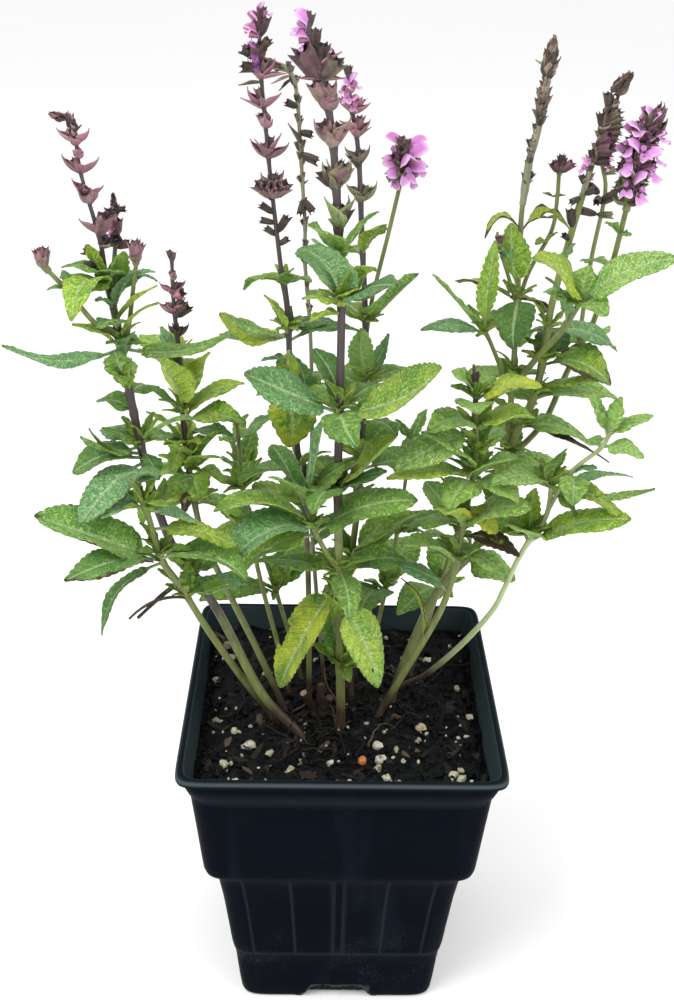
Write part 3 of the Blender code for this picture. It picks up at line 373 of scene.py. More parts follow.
# Dust and splashes of soil, as a mask: broad clouds broken up by fine specks.
DUST, (place, size, cover), result = new_group(
    "dust", {"Place": "Vector", "Size": "Float", "Cover": "Float"}, ["Dust"])
broken = times(clouds(place, size, 3), clouds(place, times(size, 22), 2, 0.7))
DUST.links.new(times(fade(broken, 0.26, 0.46), cover), result["Dust"])

pot_shape = new_shape()
tint = pot_shape.verts.layers.float_color["tint"]
stacked_rings(pot_shape, 4 * len(SIDE_SHARES), len(POT_RINGS))
for vertex in pot_shape.verts:
    ring = round(vertex.co.z)
    half, height = POT_RINGS[ring]
    place = round((atan2(vertex.co.y, vertex.co.x) / tau % 1) * 4 * len(SIDE_SHARES))
    quarter, column = divmod(place % (4 * len(SIDE_SHARES)), len(SIDE_SHARES))
    share = SIDE_SHARES[column]
    angle = atan2(-1, share) + quarter * pi / 2
    reach = square_reach(angle, half, power_at(height))
    back = panel_depth(share, height) if ring < OUTER_RINGS else 0
    side = Vector((sin(quarter * pi / 2), -cos(quarter * pi / 2), 0))
    # The tint holds painted light: a painted highlight along the creases and folds, a painted highlight along the
    # rim's rolled lip, and a mark for the inside wall, which is painted lighter against its shade.
    edge = smoothed(half, *LIP_HIGHLIGHT) if height > LIP_HIGHLIGHT_ABOVE else 0
    vertex[tint] = (crease_highlight_at(share, height) if height < CREASED_BELOW else 0, edge, ring > RIM_RING, 1)
    vertex.co = Vector((reach * cos(angle), reach * sin(angle), height)) - side * back
bmesh.ops.recalc_face_normals(pot_shape, faces=pot_shape.faces)

black_plastic, shader, place = new_finish("black_plastic", 0.42, specular_ior_level=0.012)
# The first three tints carry painted light: the crease highlight, the lip highlight, and the inside wall's
# lightening against its shade.
crease_highlight, lip, inside, _ = tints_of(shader)
drift, grain = clouds(place, 22, 4), clouds(place, 900)
scuff = clouds(stretched(place, (1, 1, 0.12)), 60, 5)
height = put(place.id_data, "SeparateXYZ", {0: place}).outputs[2]
dust = put(place.id_data, "Group", {
    "Place": place, "Size": 55, "Cover": plus(times(fade(height, 0.05, 0.022), 0.2), 0.03)}, node_tree=DUST)
body = coated(
    mixed(drift, (0.0008, 0.0018, 0.0042), (0.0026, 0.0042, 0.0078)),
    # Painted sheen: from the flange up, the rim is painted a lighter blue-grey.
    (times(fade(height, 0.1185, 0.1215), 0.6), (0.005, 0.009, 0.013)),
    (times(fade(scuff, 0.58, 0.72), 0.25), (0.01, 0.014, 0.022)),
    # Painted highlight along the creases of the panels and rib, and along the folds.
    (times(crease_highlight, 0.6), (0.022, 0.03, 0.04)),
    # Painted highlight along the rolled lip of the rim.
    (lip, (0.05, 0.062, 0.066)),
    # Painted light: the inside wall, which stands in shade, is painted lighter than the outside.
    (inside, (0.03, 0.044, 0.048)),
    (dust.outputs["Dust"], (0.055, 0.065, 0.08)))
finish_with(shader, body, plus(times(drift, 0.25), 0.3), grain, depth=0.00008, strength=0.6)

pot = make_piece("pot_shell", pot_shape, black_plastic, "pot", ["pot"], sharp=60)
joined(pot, [arch_block(WALL) for _ in range(4)], "UNION")
joined(pot, [arch_block(0) for _ in range(4)] + [drain_hole() for _ in range(4)], "DIFFERENCE")


# The potting soil: dark peat with bits of bark, filled in by hand to a finger's width under the rim, a
# little higher round the crown. White perlite lies through it, and one orange grain of fertiliser.
SOIL_EDGE, SOIL_MOUND, MOUND_REACH, SOIL_BACK = 112, 3, 30, 3.5
SOIL_HALF = 52.6
SOIL_SKIRT = [(48.8, 75), (44.9, 70), (41.9, 52), (38.7, 27), (35.8, 1.5)]
SOIL_CELLS = 110
SEED = 31
GRAIN_SPREAD, GRAIN_SIZES, GRAINS = 0.82, (1.3, 2.1), 9
CROWN_PLACE = (-8, -5)
CLEAR_OF_STEM, CLEAR_OF_GRAIN, CLEAR_OF_CROWN = 8, 6, 10
STEM_FEET = [(0, -13), (4, 5), (-12, 3), (-15, -18), (-24, -9), (-20, -4), (-19, 6), (19, 2), (14, -7), (24, 13),
    (-15, 17), (10, 19), (28, 22), (-6, 14)]
BIG_PERLITE = [(40, -38, 2), (42.5, -41, 1.7), (-37, -43, 1.5), (-33, -46, 1.6), (16, -40, 1.6), (3, -43, 1.5),
    (-4, -34, 1.5), (-18, -35, 1.4), (-26, -27, 1.6), (30, -13, 1.8), (28, -20, 1.5), (49, -6, 1.4),
    (-44, 31, 1.7), (-45, 38, 2.2), (-49, 18, 1.6), (20, -26, 1.3), (-12, -48, 1.3), (10, -47, 1.7),
    (13, -36, 1.4), (-47, -8, 1.4), (46, 14, 1.3), (-29, 22, 1.6), (35, 30, 1.4)]
FERTILISER = (7.5, -33, 1.9)

draw = random.Random(SEED)
uniform = draw.uniform


def cells(place, scale, **settings):
    """Round cells packed at a place, with the distance to their middles and a colour for each."""
    return put(place.id_data, "TexVoronoi", {"Vector": place, "Scale": scale}, **settings).outputs


def soil_height(x, y):
    """The soil's surface: mounded round the crown, higher at the back, uneven by a millimetre or so."""
    mound = SOIL_MOUND * exp(-(x * x + y * y) / MOUND_REACH ** 2) + SOIL_BACK * smoothed(y, 15, 50)
    broad = 0.7 * sin(0.31 * x + 1.3) * cos(0.27 * y)
    return SOIL_EDGE + mound + broad + 0.4 * sin(0.63 * x - 0.5 * y)


def lump(x, y):
    """Crumbs of peat, of a few millimetres and of one."""
    place = Vector((x, y, 0))
    return (1.1 * noise.noise(place * 0.22) + 0.75 * abs(noise.noise(place * 0.6))
            + 0.3 * noise.noise(place * 1.7))


def roughened(verts, size, amount):
    """Pushes points in and out from their middle, so that a ball becomes a grain."""
    middle = sum((vertex.co for vertex in verts), Vector()) / len(verts)
    shift = Vector((uniform(0, 99), uniform(0, 99), uniform(0, 99)))
    for vertex in verts:
        away = vertex.co - middle
        vertex.co = middle + away * (1 + amount * noise.noise(away * 1.3 / size + shift))


def scatter(shape, count, sizes, detail, stretch, flat, sunk, amount, places=(), spread=0.96, front=0):
    """Scatters grains over the soil, half sunk, each a rough ball that is stretched, flattened and turned."""
    tint = shape.verts.layers.float_color["tint"]
    for number in range(count):
        size = uniform(*sizes)
        if number < len(places):
            x, y, size = places[number]
        else:
            x, y = uniform(-spread, spread) * SOIL_HALF, uniform(-spread, spread) * SOIL_HALF
            if y > 0 and draw.random() < front:
                y = -y
        verts = bmesh.ops.create_icosphere(shape, subdivisions=detail, radius=size)["verts"]
        roughened(verts, size, amount)
        bmesh.ops.scale(shape, verts=verts,
                        vec=(uniform(*stretch), uniform(0.7, 1), uniform(*flat)))
        lean = Matrix.Rotation(uniform(-0.5, 0.5), 3, "Y") @ Matrix.Rotation(uniform(-0.5, 0.5), 3, "X")
        turn = Matrix.Rotation(uniform(0, 6.3), 3, "Z")
        bmesh.ops.rotate(shape, verts=verts, cent=(0, 0, 0), matrix=turn @ lean)
        z = soil_height(x, y) + lump(x, y)
        bmesh.ops.translate(shape, verts=verts, vec=(x, y, z + sunk * size * min(flat)))
        colour = (draw.random(), draw.random(), draw.random(), 1)
        for vertex in verts:
            vertex[tint] = colour


soil_shape = new_shape()
bmesh.ops.create_grid(soil_shape, x_segments=SOIL_CELLS, y_segments=SOIL_CELLS, size=1)
for vertex in soil_shape.verts:
    x, y = vertex.co.x, vertex.co.y
    widest = max(abs(x), abs(y))
    if widest:
        reach = square_reach(atan2(y, x), SOIL_HALF * widest, 2 + (SOFT_SIDES - 2) * widest)
        x, y = reach * cos(atan2(y, x)), reach * sin(atan2(y, x))
    at_wall = smoothed(widest, 0.93, 1)
    vertex.co = (x, y, soil_height(x, y) + lump(x, y) * (1 - at_wall) - 1.2 * at_wall)
edges = [edge for edge in soil_shape.edges if edge.is_boundary]
for half, height in SOIL_SKIRT:
    pulled = bmesh.ops.extrude_edge_only(soil_shape, edges=edges)["geom"]
    for vertex in only(BMVert, pulled):
        angle = atan2(vertex.co.y, vertex.co.x)
        reach = square_reach(angle, half, SOFT_SIDES)
        vertex.co = (reach * cos(angle), reach * sin(angle), height)
    edges = [edge for edge in only(BMEdge, pulled) if all(vertex.co.z < height + 0.01 for vertex in edge.verts)]
bmesh.ops.contextual_create(soil_shape, geom=edges)
bmesh.ops.recalc_face_normals(soil_shape, faces=soil_shape.faces)

peat, shader, place = new_finish("peat", 0.85, specular_ior_level=0.12)
crumbs, flecks, clods = cells(place, 520), cells(place, 310), clouds(place, 140, 6, 0.75)
fibre = clouds(stretched(place, (1, 6, 1), 0.6), 90, 3)
chance = put(place.id_data, "SeparateColor", {0: flecks["Color"]}).outputs[0]
earth = coated(
    mixed(clods, (0.0004, 0.0006, 0.0009), (0.0058, 0.007, 0.008)),
    (times(fade(fibre, 0.6, 0.75), 0.5), (0.022, 0.017, 0.013)),
    (times(fade(chance, 0.95, 0.96), fade(flecks["Distance"], 0.42, 0.3)), (0.42, 0.4, 0.34)))
finish_with(shader, earth, fade(clods, 0.9, 0.1), plus(crumbs["Distance"], times(clods, 2)), depth=0.0009)
make_piece("soil_bed", soil_shape, peat, "soil", ["potting_soil"])

crumb_shape = new_shape()
scatter(crumb_shape, 900, (0.5, 1.5), 1, (0.8, 1.4), (0.6, 0.9), 0.5, 0.5)
make_piece("soil_crumbs", crumb_shape, peat, "soil")

# Bark and wood chips of several browns, flat and split along their grain.
chip_shape = new_shape()
scatter(chip_shape, 170, (0.9, 2.1), 1, (1.4, 3.4), (0.16, 0.35), 0.9, 0.35)
chips, shader, place = new_finish("bark_chips", 0.8, specular_ior_level=0.3)
shade, pale, *_ = tints_of(shader)
split = clouds(place, 700, 4)
wood = coated(
    mixed(shade, (0.003, 0.0025, 0.0025), (0.022, 0.013, 0.009)),
    (fade(pale, 0.86, 0.9), (0.1, 0.07, 0.045)),
    (times(split, 0.6), (0.004, 0.003, 0.003)))
finish_with(shader, wood, None, split, depth=0.0003)
make_piece("soil_bark_chips", chip_shape, chips, "soil")

# Perlite: puffed volcanic glass, white to cream, pitted, and stained by the peat where it lies in it. The
# first grains lie where those of the solid soil do, which were drawn with the same seed.
grain_places = []
solid_draw = random.Random(SEED)
while len(grain_places) < GRAINS:
    spot = [solid_draw.uniform(-GRAIN_SPREAD, GRAIN_SPREAD) * SOIL_HALF for axis in range(2)]
    if (all(dist(spot, foot) > CLEAR_OF_STEM for foot in STEM_FEET)
            and all(dist(spot, other[:2]) > CLEAR_OF_GRAIN for other in grain_places)
            and dist(spot, CROWN_PLACE) > CLEAR_OF_CROWN):
        grain_places.append((*spot, solid_draw.uniform(*GRAIN_SIZES)))
        solid_draw.uniform(0, pi), solid_draw.uniform(0.7, 1)
perlite_shape = new_shape()
scatter(perlite_shape, GRAINS + len(BIG_PERLITE), (1, 2), 2, (1, 1.3), (0.75, 0.95), 0.45, 0.55,
        places=grain_places + BIG_PERLITE)
scatter(perlite_shape, 90, (0.35, 1), 1, (1, 1.4), (0.7, 0.95), 0.6, 0.5, front=0.6)
perlite, shader, place = new_finish("perlite", 0.8, specular_ior_level=0.3)
shade, soiled, *_ = tints_of(shader)
pits, stain = cells(place, 1500)["Distance"], clouds(place, 420, 3)
glass = coated(
    mixed(shade, (0.42, 0.38, 0.22), (0.58, 0.56, 0.46)),
    (fade(soiled, 0.72, 0.95), (0.2, 0.17, 0.1)),
    (times(fade(stain, 0.52, 0.72), 0.85), (0.07, 0.055, 0.035)))
finish_with(shader, glass, None, plus(pits, stain), depth=0.0005)
make_piece("soil_perlite", perlite_shape, perlite, "soil")

# The fertiliser grain: a resin-coated ball, smooth and orange.
prill_shape = new_shape()
scatter(prill_shape, 1, (1.9, 1.9), 3, (1, 1), (0.95, 0.95), 0.6, 0.08, places=[FERTILISER])
prill, shader, place = new_finish("fertiliser_grain", 0.35)
cloud = clouds(place, 380, 4)
finish_with(shader, mixed(cloud, (0.33, 0.08, 0.012), (0.52, 0.19, 0.05)), None, cloud)
make_piece("fertiliser_grain", prill_shape, prill, "soil")


# The crown: the short woody knot that all stems grow from, with the grey-brown stubs of stems that were
# cut last year. It has grown together in one piece, and fine dead twigs and roots lie round it.
CROWN_RADIUS, CROWN_FOOT, CROWN_TOP = 4.6, 104, 118
STUBS = ((200, 62, 14), (320, 66, 12), (80, 76, 13))
STUB_ROOT, STUB_RADIUS = 5, 1.7
STUB_RINGS = [(0, 1), (0.2, 1.05), (0.35, 0.95), (0.5, 1.02), (0.65, 0.9), (0.8, 0.93), (0.93, 0.9), (0.98, 0.86),
              (1, 0.78), (0.985, 0.3)]
KNOT_RINGS, KNOT_STEP = 11, 1.38


def heading(compass, rise):
    """The unit direction of a compass angle and a rise in degrees."""
    turn, lift = radians(compass), radians(rise)
    return Vector((cos(turn) * cos(lift), sin(turn) * cos(lift), sin(lift)))


def between(rows, value):
    """A value read off rows of (place, value), which are joined by straight lines."""
    rows = list(rows)
    if value <= rows[0][0]:
        return rows[0][1]
    for (start, low), (end, high) in zip(rows, rows[1:]):
        if value <= end:
            return low + (high - low) * (value - start) / (end - start)
    return rows[-1][1]


def rounded_route(route, step):
    """Points along a smooth curve through a route's corners, about a step apart."""
    corners = [Vector(corner) for corner in route]
    ends = [2 * corners[0] - corners[1], *corners, 2 * corners[-1] - corners[-2]]
    points = []
    for before, start, end, after in zip(ends, ends[1:], ends[2:], ends[3:]):
        count = max(2, round((end - start).length / step))
        for number in range(count):
            t = number / count
            points.append(0.5 * (2 * start + (end - before) * t
                                 + (2 * before - 5 * start + 4 * end - after) * t ** 2
                                 + (3 * start - before - 3 * end + after) * t ** 3))
    return [*points, corners[-1]]


def add_part(shape, part):
    """Adds a bmesh to a shape and frees it. It gives back the vertices that this added."""
    known = len(shape.verts)
    mesh = bpy.data.meshes.new("part")
    part.to_mesh(mesh)
    part.free()
    shape.from_mesh(mesh)
    bpy.data.meshes.remove(mesh)
    shape.verts.ensure_lookup_table()
    return shape.verts[known:]


def grow_tube(shape, points, radii, sides=10, square=0, tints=None, flute=0):
    """A closed stem along points with a radius at each, round or with rounded corners, added to a shape."""
    part = bmesh.new()
    stacked_rings(part, sides, len(points))
    made = add_part(shape, part)
    tint = shape.verts.layers.float_color["tint"]
    frames = []
    for number, point in enumerate(points):
        ahead = (points[min(number + 1, len(points) - 1)] - points[max(number - 1, 0)]).normalized()
        side = (frames[-1][1] - ahead * frames[-1][1].dot(ahead) if frames
                else Vector((0, 1, 0.03)).cross(ahead)).normalized()
        frames.append((point, side, ahead.cross(side)))
    for vertex in made:
        number = round(vertex.co.z)
        point, side, over = frames[number]
        angle = atan2(vertex.co.y, vertex.co.x)
        reach = radii[number] * (1 + square * cos(4 * angle - pi) + flute * sin(9 * angle + number))
        vertex.co = point + (side * cos(angle) + over * sin(angle)) * reach
        vertex[tint] = tints[number] if tints else (0, 0, 0, 1)


crown_shape = new_shape()
base = Vector((*CROWN_PLACE, 0))
knot_points = [base + UP * (CROWN_FOOT + 0.1 + KNOT_STEP * k) for k in range(KNOT_RINGS)]
knot_radii = [CROWN_RADIUS * (1 - 0.02 * k) for k in range(KNOT_RINGS)]
knot_radii[-1] -= 1.5
grow_tube(crown_shape, knot_points, knot_radii, sides=18, flute=0.07)
root = base + Vector((0, 0, CROWN_TOP - STUB_ROOT))
for compass, rise, reach in STUBS:
    along = heading(compass, rise)
    pale = 0.9 if compass == STUBS[0][0] else 0.15
    grow_tube(crown_shape, [root + along * reach * share for share, _ in STUB_RINGS],
              [STUB_RADIUS * width for _, width in STUB_RINGS], sides=14, flute=0.06,
              tints=[(0, 0, 0, 1)] * 8 + [(pale, 0, 0, 1)] * 2)

bark, shader, place = new_finish("old_bark", 0.85, specular_ior_level=0.25)
ridges, blotch = clouds(stretched(place, (1, 1, 0.2)), 900, 5), clouds(place, 180, 3)
wood = coated(
    mixed(ridges, (0.006, 0.004, 0.003), (0.06, 0.038, 0.024)),
    (fade(blotch, 0.55, 0.7), (0.02, 0.014, 0.01)),
    (tints_of(shader)[0], (0.42, 0.3, 0.22)))
finish_with(shader, wood, None, ridges, depth=0.0006)
make_piece("crown_wood", crown_shape, bark, "crown", ["crown"])

# Dead twigs, roots and bits of leaf stalk that lie on the soil: start, compass, rise, length and radius.
TWIGS = [((-30, -12, 113.5), 330, 8, 26, 0.55), ((-24, -30, 113.5), 20, 6, 22, 0.35),
    ((10, -24, 113.5), 75, 20, 18, 0.5), ((-9, -20, 114), 60, 25, 20, 0.6), ((2, -30, 113.5), 110, 28, 22, 0.3),
    ((18, -14, 113.5), 30, 12, 24, 0.45), ((30, -6, 113), 170, 10, 20, 0.4), ((-2, -26, 113.5), 160, 14, 24, 0.4),
    ((-16, -34, 113), 340, 10, 20, 0.3), ((22, 20, 113), 200, 16, 26, 0.5), ((36, 18, 113), 15, 14, 20, 0.6),
    ((34, 26, 113), 350, 10, 22, 0.45), ((-38, 8, 113), 300, 12, 22, 0.4), ((-8, -14, 114), 95, 50, 16, 0.7),
    ((0, -4, 114), 100, 55, 18, 0.6), ((-14, 2, 114), 120, 45, 14, 0.6), ((5, -18, 114), 310, 18, 16, 0.4),
    ((8, 2, 114), 60, 40, 20, 0.5)]
FIBRES, FIBRE_REACH, TWIG_BENDS = 90, 21, 9
for _ in range(FIBRES):
    turn, reach = uniform(0, 360), FIBRE_REACH * draw.random() ** 0.7
    TWIGS.append(((*(base + heading(turn, 0) * reach).xy, 113.5), uniform(0, 360), uniform(0, 60),
                  uniform(7, 17), uniform(0.14, 0.38)))
twig_shape = new_shape()
for start, compass, rise, length, radius in TWIGS:
    wander = Vector(start)
    twig_points = [wander.copy()]
    for _ in range(TWIG_BENDS):
        compass, rise = compass + uniform(-26, 26), rise + uniform(-24, 14)
        wander = wander + heading(compass, rise) * length / TWIG_BENDS
        wander.z = max(wander.z, soil_height(wander.x, wander.y) + lump(wander.x, wander.y) + radius * 0.6)
        twig_points.append(wander.copy())
    shades = (draw.random(), draw.random(), draw.random(), 1)
    grow_tube(twig_shape, twig_points, [radius * (1 - 0.06 * number) for number in range(len(twig_points))],
              sides=6, tints=[shades] * len(twig_points))
make_piece("crown_twigs", twig_shape, chips, "soil")


# The front stem. Meadow sage grows on square stems, olive below and purple-brown above, with a fine pale
# line on each corner. Leaves sit on them in pairs: long, with rounded teeth, puckered between their veins,
# grooved above and keeled below the midrib, and small young leaves sprout where they meet the stem.
Shoot = namedtuple("Shoot", "foot tip route leaves")
Look = namedtuple("Look", "yellow blue brown light")
PETIOLE, BASE_CURVE, TIP_CURVE, FULLEST, LEAF_FOLD, FOLDED_FROM = 0.16, 0.42, 0.72, 0.465, 0.22, 24
SHARES, TILTS, TURNS = (1, 0.85, 0.7), (0, 12, -12, 25, -25), (0, 12, -12, 25, -25, 40, -40, 60, -60)
STEEPEST, ROOTED, TIP_NEAR = 88, 1.5, 0.05
TOOTH_PITCH, TOOTH_DEPTH, LEAF_THICK = 2, 0.27, 0.3
VEIN_PITCH, VEIN_SLANT, PUCKER = 3.6, 0.13, 0.5
TOOTH = (-1.2, 0.5, 0.7)                # how far out the points of a tooth are, in turn
GROOVE_DEPTH, GROOVE_HALF, KEEL_DEPTH, KEEL_HALF = 0.22, 0.5, 0.65, 0.6
HOLE_STRETCH = 2.6
STEM_STEP, STEM_SIDES, STEM_SHARE = 2.2, 12, 0.84
WOODY = (142, 113)                      # heights where a stem starts to be woody, and is so
ARCH = 0.1                              # how far a leaf arches, unless its row says so
LONG = 17                               # leaves longer than this have young ones at their joint
UNDERSIDE = 0.16                        # how much lighter a blade's lower face is

MATURE = Look(0.08, 0.22, 0, 0.5)
# SUNLIT is a lighter copy of the mature look: painted light for the leaves of the stems on the right.
SUNLIT = Look(0.14, 0.24, 0, 0.76)
FRESH = Look(0.22, 0, 0, 0.64)
BLUISH = Look(0, 0.75, 0.03, 0.6)
PALE = Look(0.3, 0.4, 0.03, 0.7)
OLIVE = Look(0.34, 0, 0.05, 0.48)
DARK = Look(0, 0.4, 0.05, 0.3)
DULL = Look(0.15, 0.3, 0, 0.25)
SPOTTED = Look(0.14, 0.35, 0.2, 0.55)
SCORCHED = Look(0.05, 0.75, 0.27, 0.5)
BITTEN = Look(0.16, 0.45, 0.38, 0.38)
EDGED = Look(0.3, 0.1, 0.42, 0.48)
YELLOW = Look(0.85, 0, 0.2, 0.62)
LIME = Look(0.5, 0, 0.05, 0.78)
BRONZE = Look(0.62, 0, 0.48, 0.45)
DRY = Look(0.45, 0, 1, 0.25)
TORN = Look(0.72, 0, 0.12, 0.46)
GOLDEN = Look(0.36, 0.05, 0.03, 0.74)
TIPPED = Look(0.42, 0.2, 0.12, 0.68)


def on_route(route, height):
    """The point of a route at a height, a little below its end at most, or on its first stretch made longer."""
    height = min(height, route[-1][2] - ROOTED)
    for lower, upper in zip(route, route[1:]):
        if height <= upper[2]:
            return Vector(lower) + (Vector(upper) - Vector(lower)) * (height - lower[2]) / (upper[2] - lower[2])


def corners_of(node):
    """The corners of a solid, to be found by their place."""
    mesh = frame["nodes"][node].data
    tree = KDTree(len(mesh.vertices))
    for vertex in mesh.vertices:
        tree.insert(vertex.co / MM, vertex.index)
    tree.balance()
    return tree


def pose_of(corners, root, compass, rise, length, sizes=SHARES, tilts=TILTS, turns=TURNS):
    """How the solid blade was turned, tilted and shortened to clear its neighbours, from where its tip is."""
    for size, tilt, turn in product(sizes, tilts, turns):
        pose = compass + turn, min(STEEPEST, rise + tilt), size
        if corners.find(root + heading(*pose[:2]) * length * size)[2] < TIP_NEAR:
            return pose
    return None


def flat_blade(rows, columns, holes=()):
    """A thin closed sheet, x from 0 to 1 along and y from -1 to 1 across, with z below 0 on its lower face."""
    sheet = new_shape()
    bmesh.ops.create_grid(sheet, x_segments=rows, y_segments=columns, size=1)
    for vertex in sheet.verts:
        across = vertex.co.y
        vertex.co = ((vertex.co.x + 1) / 2, copysign(abs(across) ** 1.35, across), 0)
    gone = [face for face in sheet.faces if any(
        hypot((face.calc_center_median().x - s) / r, (face.calc_center_median().y - t) / (HOLE_STRETCH * r)) < 1
        for s, t, r in holes)]
    bmesh.ops.delete(sheet, geom=gone, context="FACES")
    bmesh.ops.solidify(sheet, geom=list(sheet.faces), thickness=0.01)
    if max(vertex.co.z for vertex in sheet.verts) > 0.005:
        bmesh.ops.translate(sheet, verts=sheet.verts, vec=(0, 0, -0.01))
    uv = sheet.loops.layers.uv["blade"]
    for face in sheet.faces:
        for loop in face.loops:
            loop[uv].uv = (loop.vert.co.y / 2 + 0.5, loop.vert.co.x)
    bmesh.ops.recalc_face_normals(sheet, faces=sheet.faces)
    return sheet


def axes_of(compass, rise):
    """The directions along, across and over a blade."""
    along = heading(compass, rise)
    side = UP.cross(along).normalized()
    return along, side, along.cross(side)


def add_blade(shape, sheet, root, compass, rise, length, form, tint, roll=0):
    """Bends a copy of a flat blade by its form, sets it on its root, and adds it to a shape."""
    along, side, over = axes_of(compass, rise)
    if roll:
        side, over = side * cos(roll) + over * sin(roll), over * cos(roll) - side * sin(roll)
    part = sheet.copy()
    layer = part.verts.layers.float_color["tint"]
    for vertex in part.verts:
        share, across, below = vertex.co.x, vertex.co.y, vertex.co.z < -0.005
        forward, half, lift = form(share, across, below)
        vertex.co = root + along * length * forward + side * half + over * lift
        vertex[layer] = (tint[0], tint[1], tint[2], tint[3] + (UNDERSIDE if below else 0))
    add_part(shape, part)


def leaf_form(length, width, arch, curl, wave, bow, twist, teeth_rows, phase):
    """How a leaf is bent: its outline with rounded teeth, folded halves, puckers, wavy edges and midrib.

    The bow is how far it bends to one side, and the twist how far its blade turns on the way to its tip.
    """
    veins = max(3, length / VEIN_PITCH)
    fold = (LEAF_FOLD if length >= FOLDED_FROM else 0.12) + 0.25 * max(0, sin(phase))

    def form(share, across, below):
        spread = min(1, max(0, (share - PETIOLE) / (1 - PETIOLE)))
        half = width / 2 * spread ** BASE_CURVE * (1 - spread) ** TIP_CURVE / FULLEST
        far = abs(across)
        tooth = TOOTH[round(share * teeth_rows) % len(TOOTH)] * TOOTH_DEPTH * far ** 5
        blade = smoothed(half, 0.8, 2.2)
        half = max(half, 0.55) + tooth * blade
        ribs = abs(sin(pi * (share - VEIN_SLANT * far) * veins)) ** 0.7
        lift = arch * length * 4 * share * (1 - share) + curl * length * share ** 3
        lift += fold * half * far ** 1.2 - 0.16 * half * far ** 4
        lift += blade * (PUCKER * (ribs - 0.6) * min(1, 3.5 * far) * (1 - 0.5 * far)
                         + wave * sin(9 * share + phase + across) * far ** 3)
        lift -= GROOVE_DEPTH * exp(-(across * half / GROOVE_HALF) ** 2) * blade
        if below:
            lift -= LEAF_THICK + KEEL_DEPTH * exp(-(across * half / KEEL_HALF) ** 2) * (1 - 0.75 * share)
        turned = twist * share ** 2
        aside = half * across * cos(turned) - lift * sin(turned)
        return share, aside + bow * length * 4 * share * (1 - share), lift + half * across * sin(turned)
    return form


leaf_sheets = {}


def add_leaf(shape, root, compass, rise, length, width, arch, look, curl=-0.03, holes=(), roll=0):
    """One leaf of a look, rolled about its midrib if asked, with its own colour, twist and wave."""
    teeth = max(4, round(length * (1 - PETIOLE) / TOOTH_PITCH))
    rows, columns = 3 * teeth, 8 if length > LONG else 6
    if (rows, columns, holes) not in leaf_sheets:
        leaf_sheets[rows, columns, holes] = flat_blade(rows, columns, holes)
    vary = uniform(-0.07, 0.07)
    tint = [min(1, max(0, value + uniform(-0.06, 0.06) + (vary if name == "light" else 0)))
            for name, value in look._asdict().items()]
    form = leaf_form(length, width, arch, curl + uniform(-0.05, 0.03), uniform(0.3, 1.1),
                     uniform(-0.05, 0.05), uniform(-0.5, 0.5), rows, uniform(0, 6.3))
    add_blade(shape, leaf_sheets[rows, columns, holes], root, compass, rise, length, form, tint,
              roll=roll + uniform(-0.14, 0.14))


def stem_tints(points, darks, dried=0):
    """A stem's colour: how purple-brown it is at each height, or how pale below 0, how dry and how woody."""
    return [(min(1, between(darks, point.z) + 0.06 * sin(point.z * 0.9)), dried,
             smoothed(point.z, *WOODY), 1) for point in points]


def add_stem(shape, shoot, darks, joints=()):
    """One square stem, thicker at the joints where its leaves are."""
    points = rounded_route(shoot.route, STEM_STEP)
    if points[0].z < SOIL_EDGE + SOIL_MOUND + 3:
        points = [points[0] + (points[0] - points[2]).normalized() * 5, *points]
    total = sum((b - a).length for a, b in zip(points, points[1:]))
    run, radii = 0, []
    for before, point in zip([points[0], *points], points):
        run += (point - before).length
        swell = sum(0.22 * exp(-((point.z - joint) / 1.3) ** 2) for joint in joints)
        radii.append(STEM_SHARE * (shoot.foot + (shoot.tip - shoot.foot) * run / total) * (1 + min(0.25, swell)))
    grow_tube(shape, points, radii, STEM_SIDES, square=0.09, tints=stem_tints(points, darks))


def joint_heights(rows):
    """The heights of the leaf pairs, from rows that start with a height."""
    heights = []
    for height in sorted(row[0] for row in rows):
        if not heights or height - heights[-1] > 5:
            heights.append(height)
    return heights


YOUNG_SIZE = 11
YOUNG_LEAVES = ((-26, 1), (30, 0.9), (5, 0.7), (-55, 0.75), (60, 0.6))


def add_young_leaves(shape, route, height, compass, look):
    """The pairs of small leaves in the axils of a leaf pair."""
    root = on_route(route, height + 1)
    size = YOUNG_SIZE * (1.15 - 0.45 * smoothed(height, 200, 290))
    for turn in (0, 180):
        for spread, share in YOUNG_LEAVES:
            length = size * share * uniform(0.7, 1.25)
            add_leaf(shape, root, compass + turn + spread + uniform(-14, 14), uniform(12, 70), length,
                     length * uniform(0.3, 0.42), uniform(0, 0.14), look, curl=-0.06)


def leafy_node(node, shoots, darks, look, young=FRESH, extra=(), green=()):
    """The stems and leaves that stand for one leafy solid, with the extra leaves of its shoots by number.

    A leaf is a row of a height, compass angle, rise, length, width, and at need an arch, look, curl, holes and
    roll of its own. The darks are rows of a height and how dark the stems are there, but for the green ones.
    """
    corners = corners_of(node)
    stems, leaves = new_shape(), new_shape()
    for number, shoot in enumerate(shoots):
        add_stem(stems, shoot, [(0, 0.1)] if number in green else darks, joint_heights(shoot.leaves))
        done = []
        for height, compass, rise, length, width, *own in shoot.leaves:
            root = on_route(shoot.route, height)
            pose = pose_of(corners, root, compass, rise, length)
            if pose is None:
                continue
            compass, rise, size = pose
            add_leaf(leaves, root, compass, rise, length * size, width * size, *own, *(ARCH, look)[len(own):])
            if length > LONG and all(abs(height - other) > 6 for other in done):
                done.append(height)
                add_young_leaves(leaves, shoot.route, height, compass, young)
    for number, rows in dict(extra).items():
        for height, *row in rows:
            add_leaf(leaves, on_route(shoots[number].route, height), *row, *(ARCH, look)[len(row) - 4:])
    make_piece(node + "_stalks", stems, stem_skin, "leaf", [node])
    make_piece(node + "_leaves", leaves, leaf_skin, "leaf", [node], sharp=75)


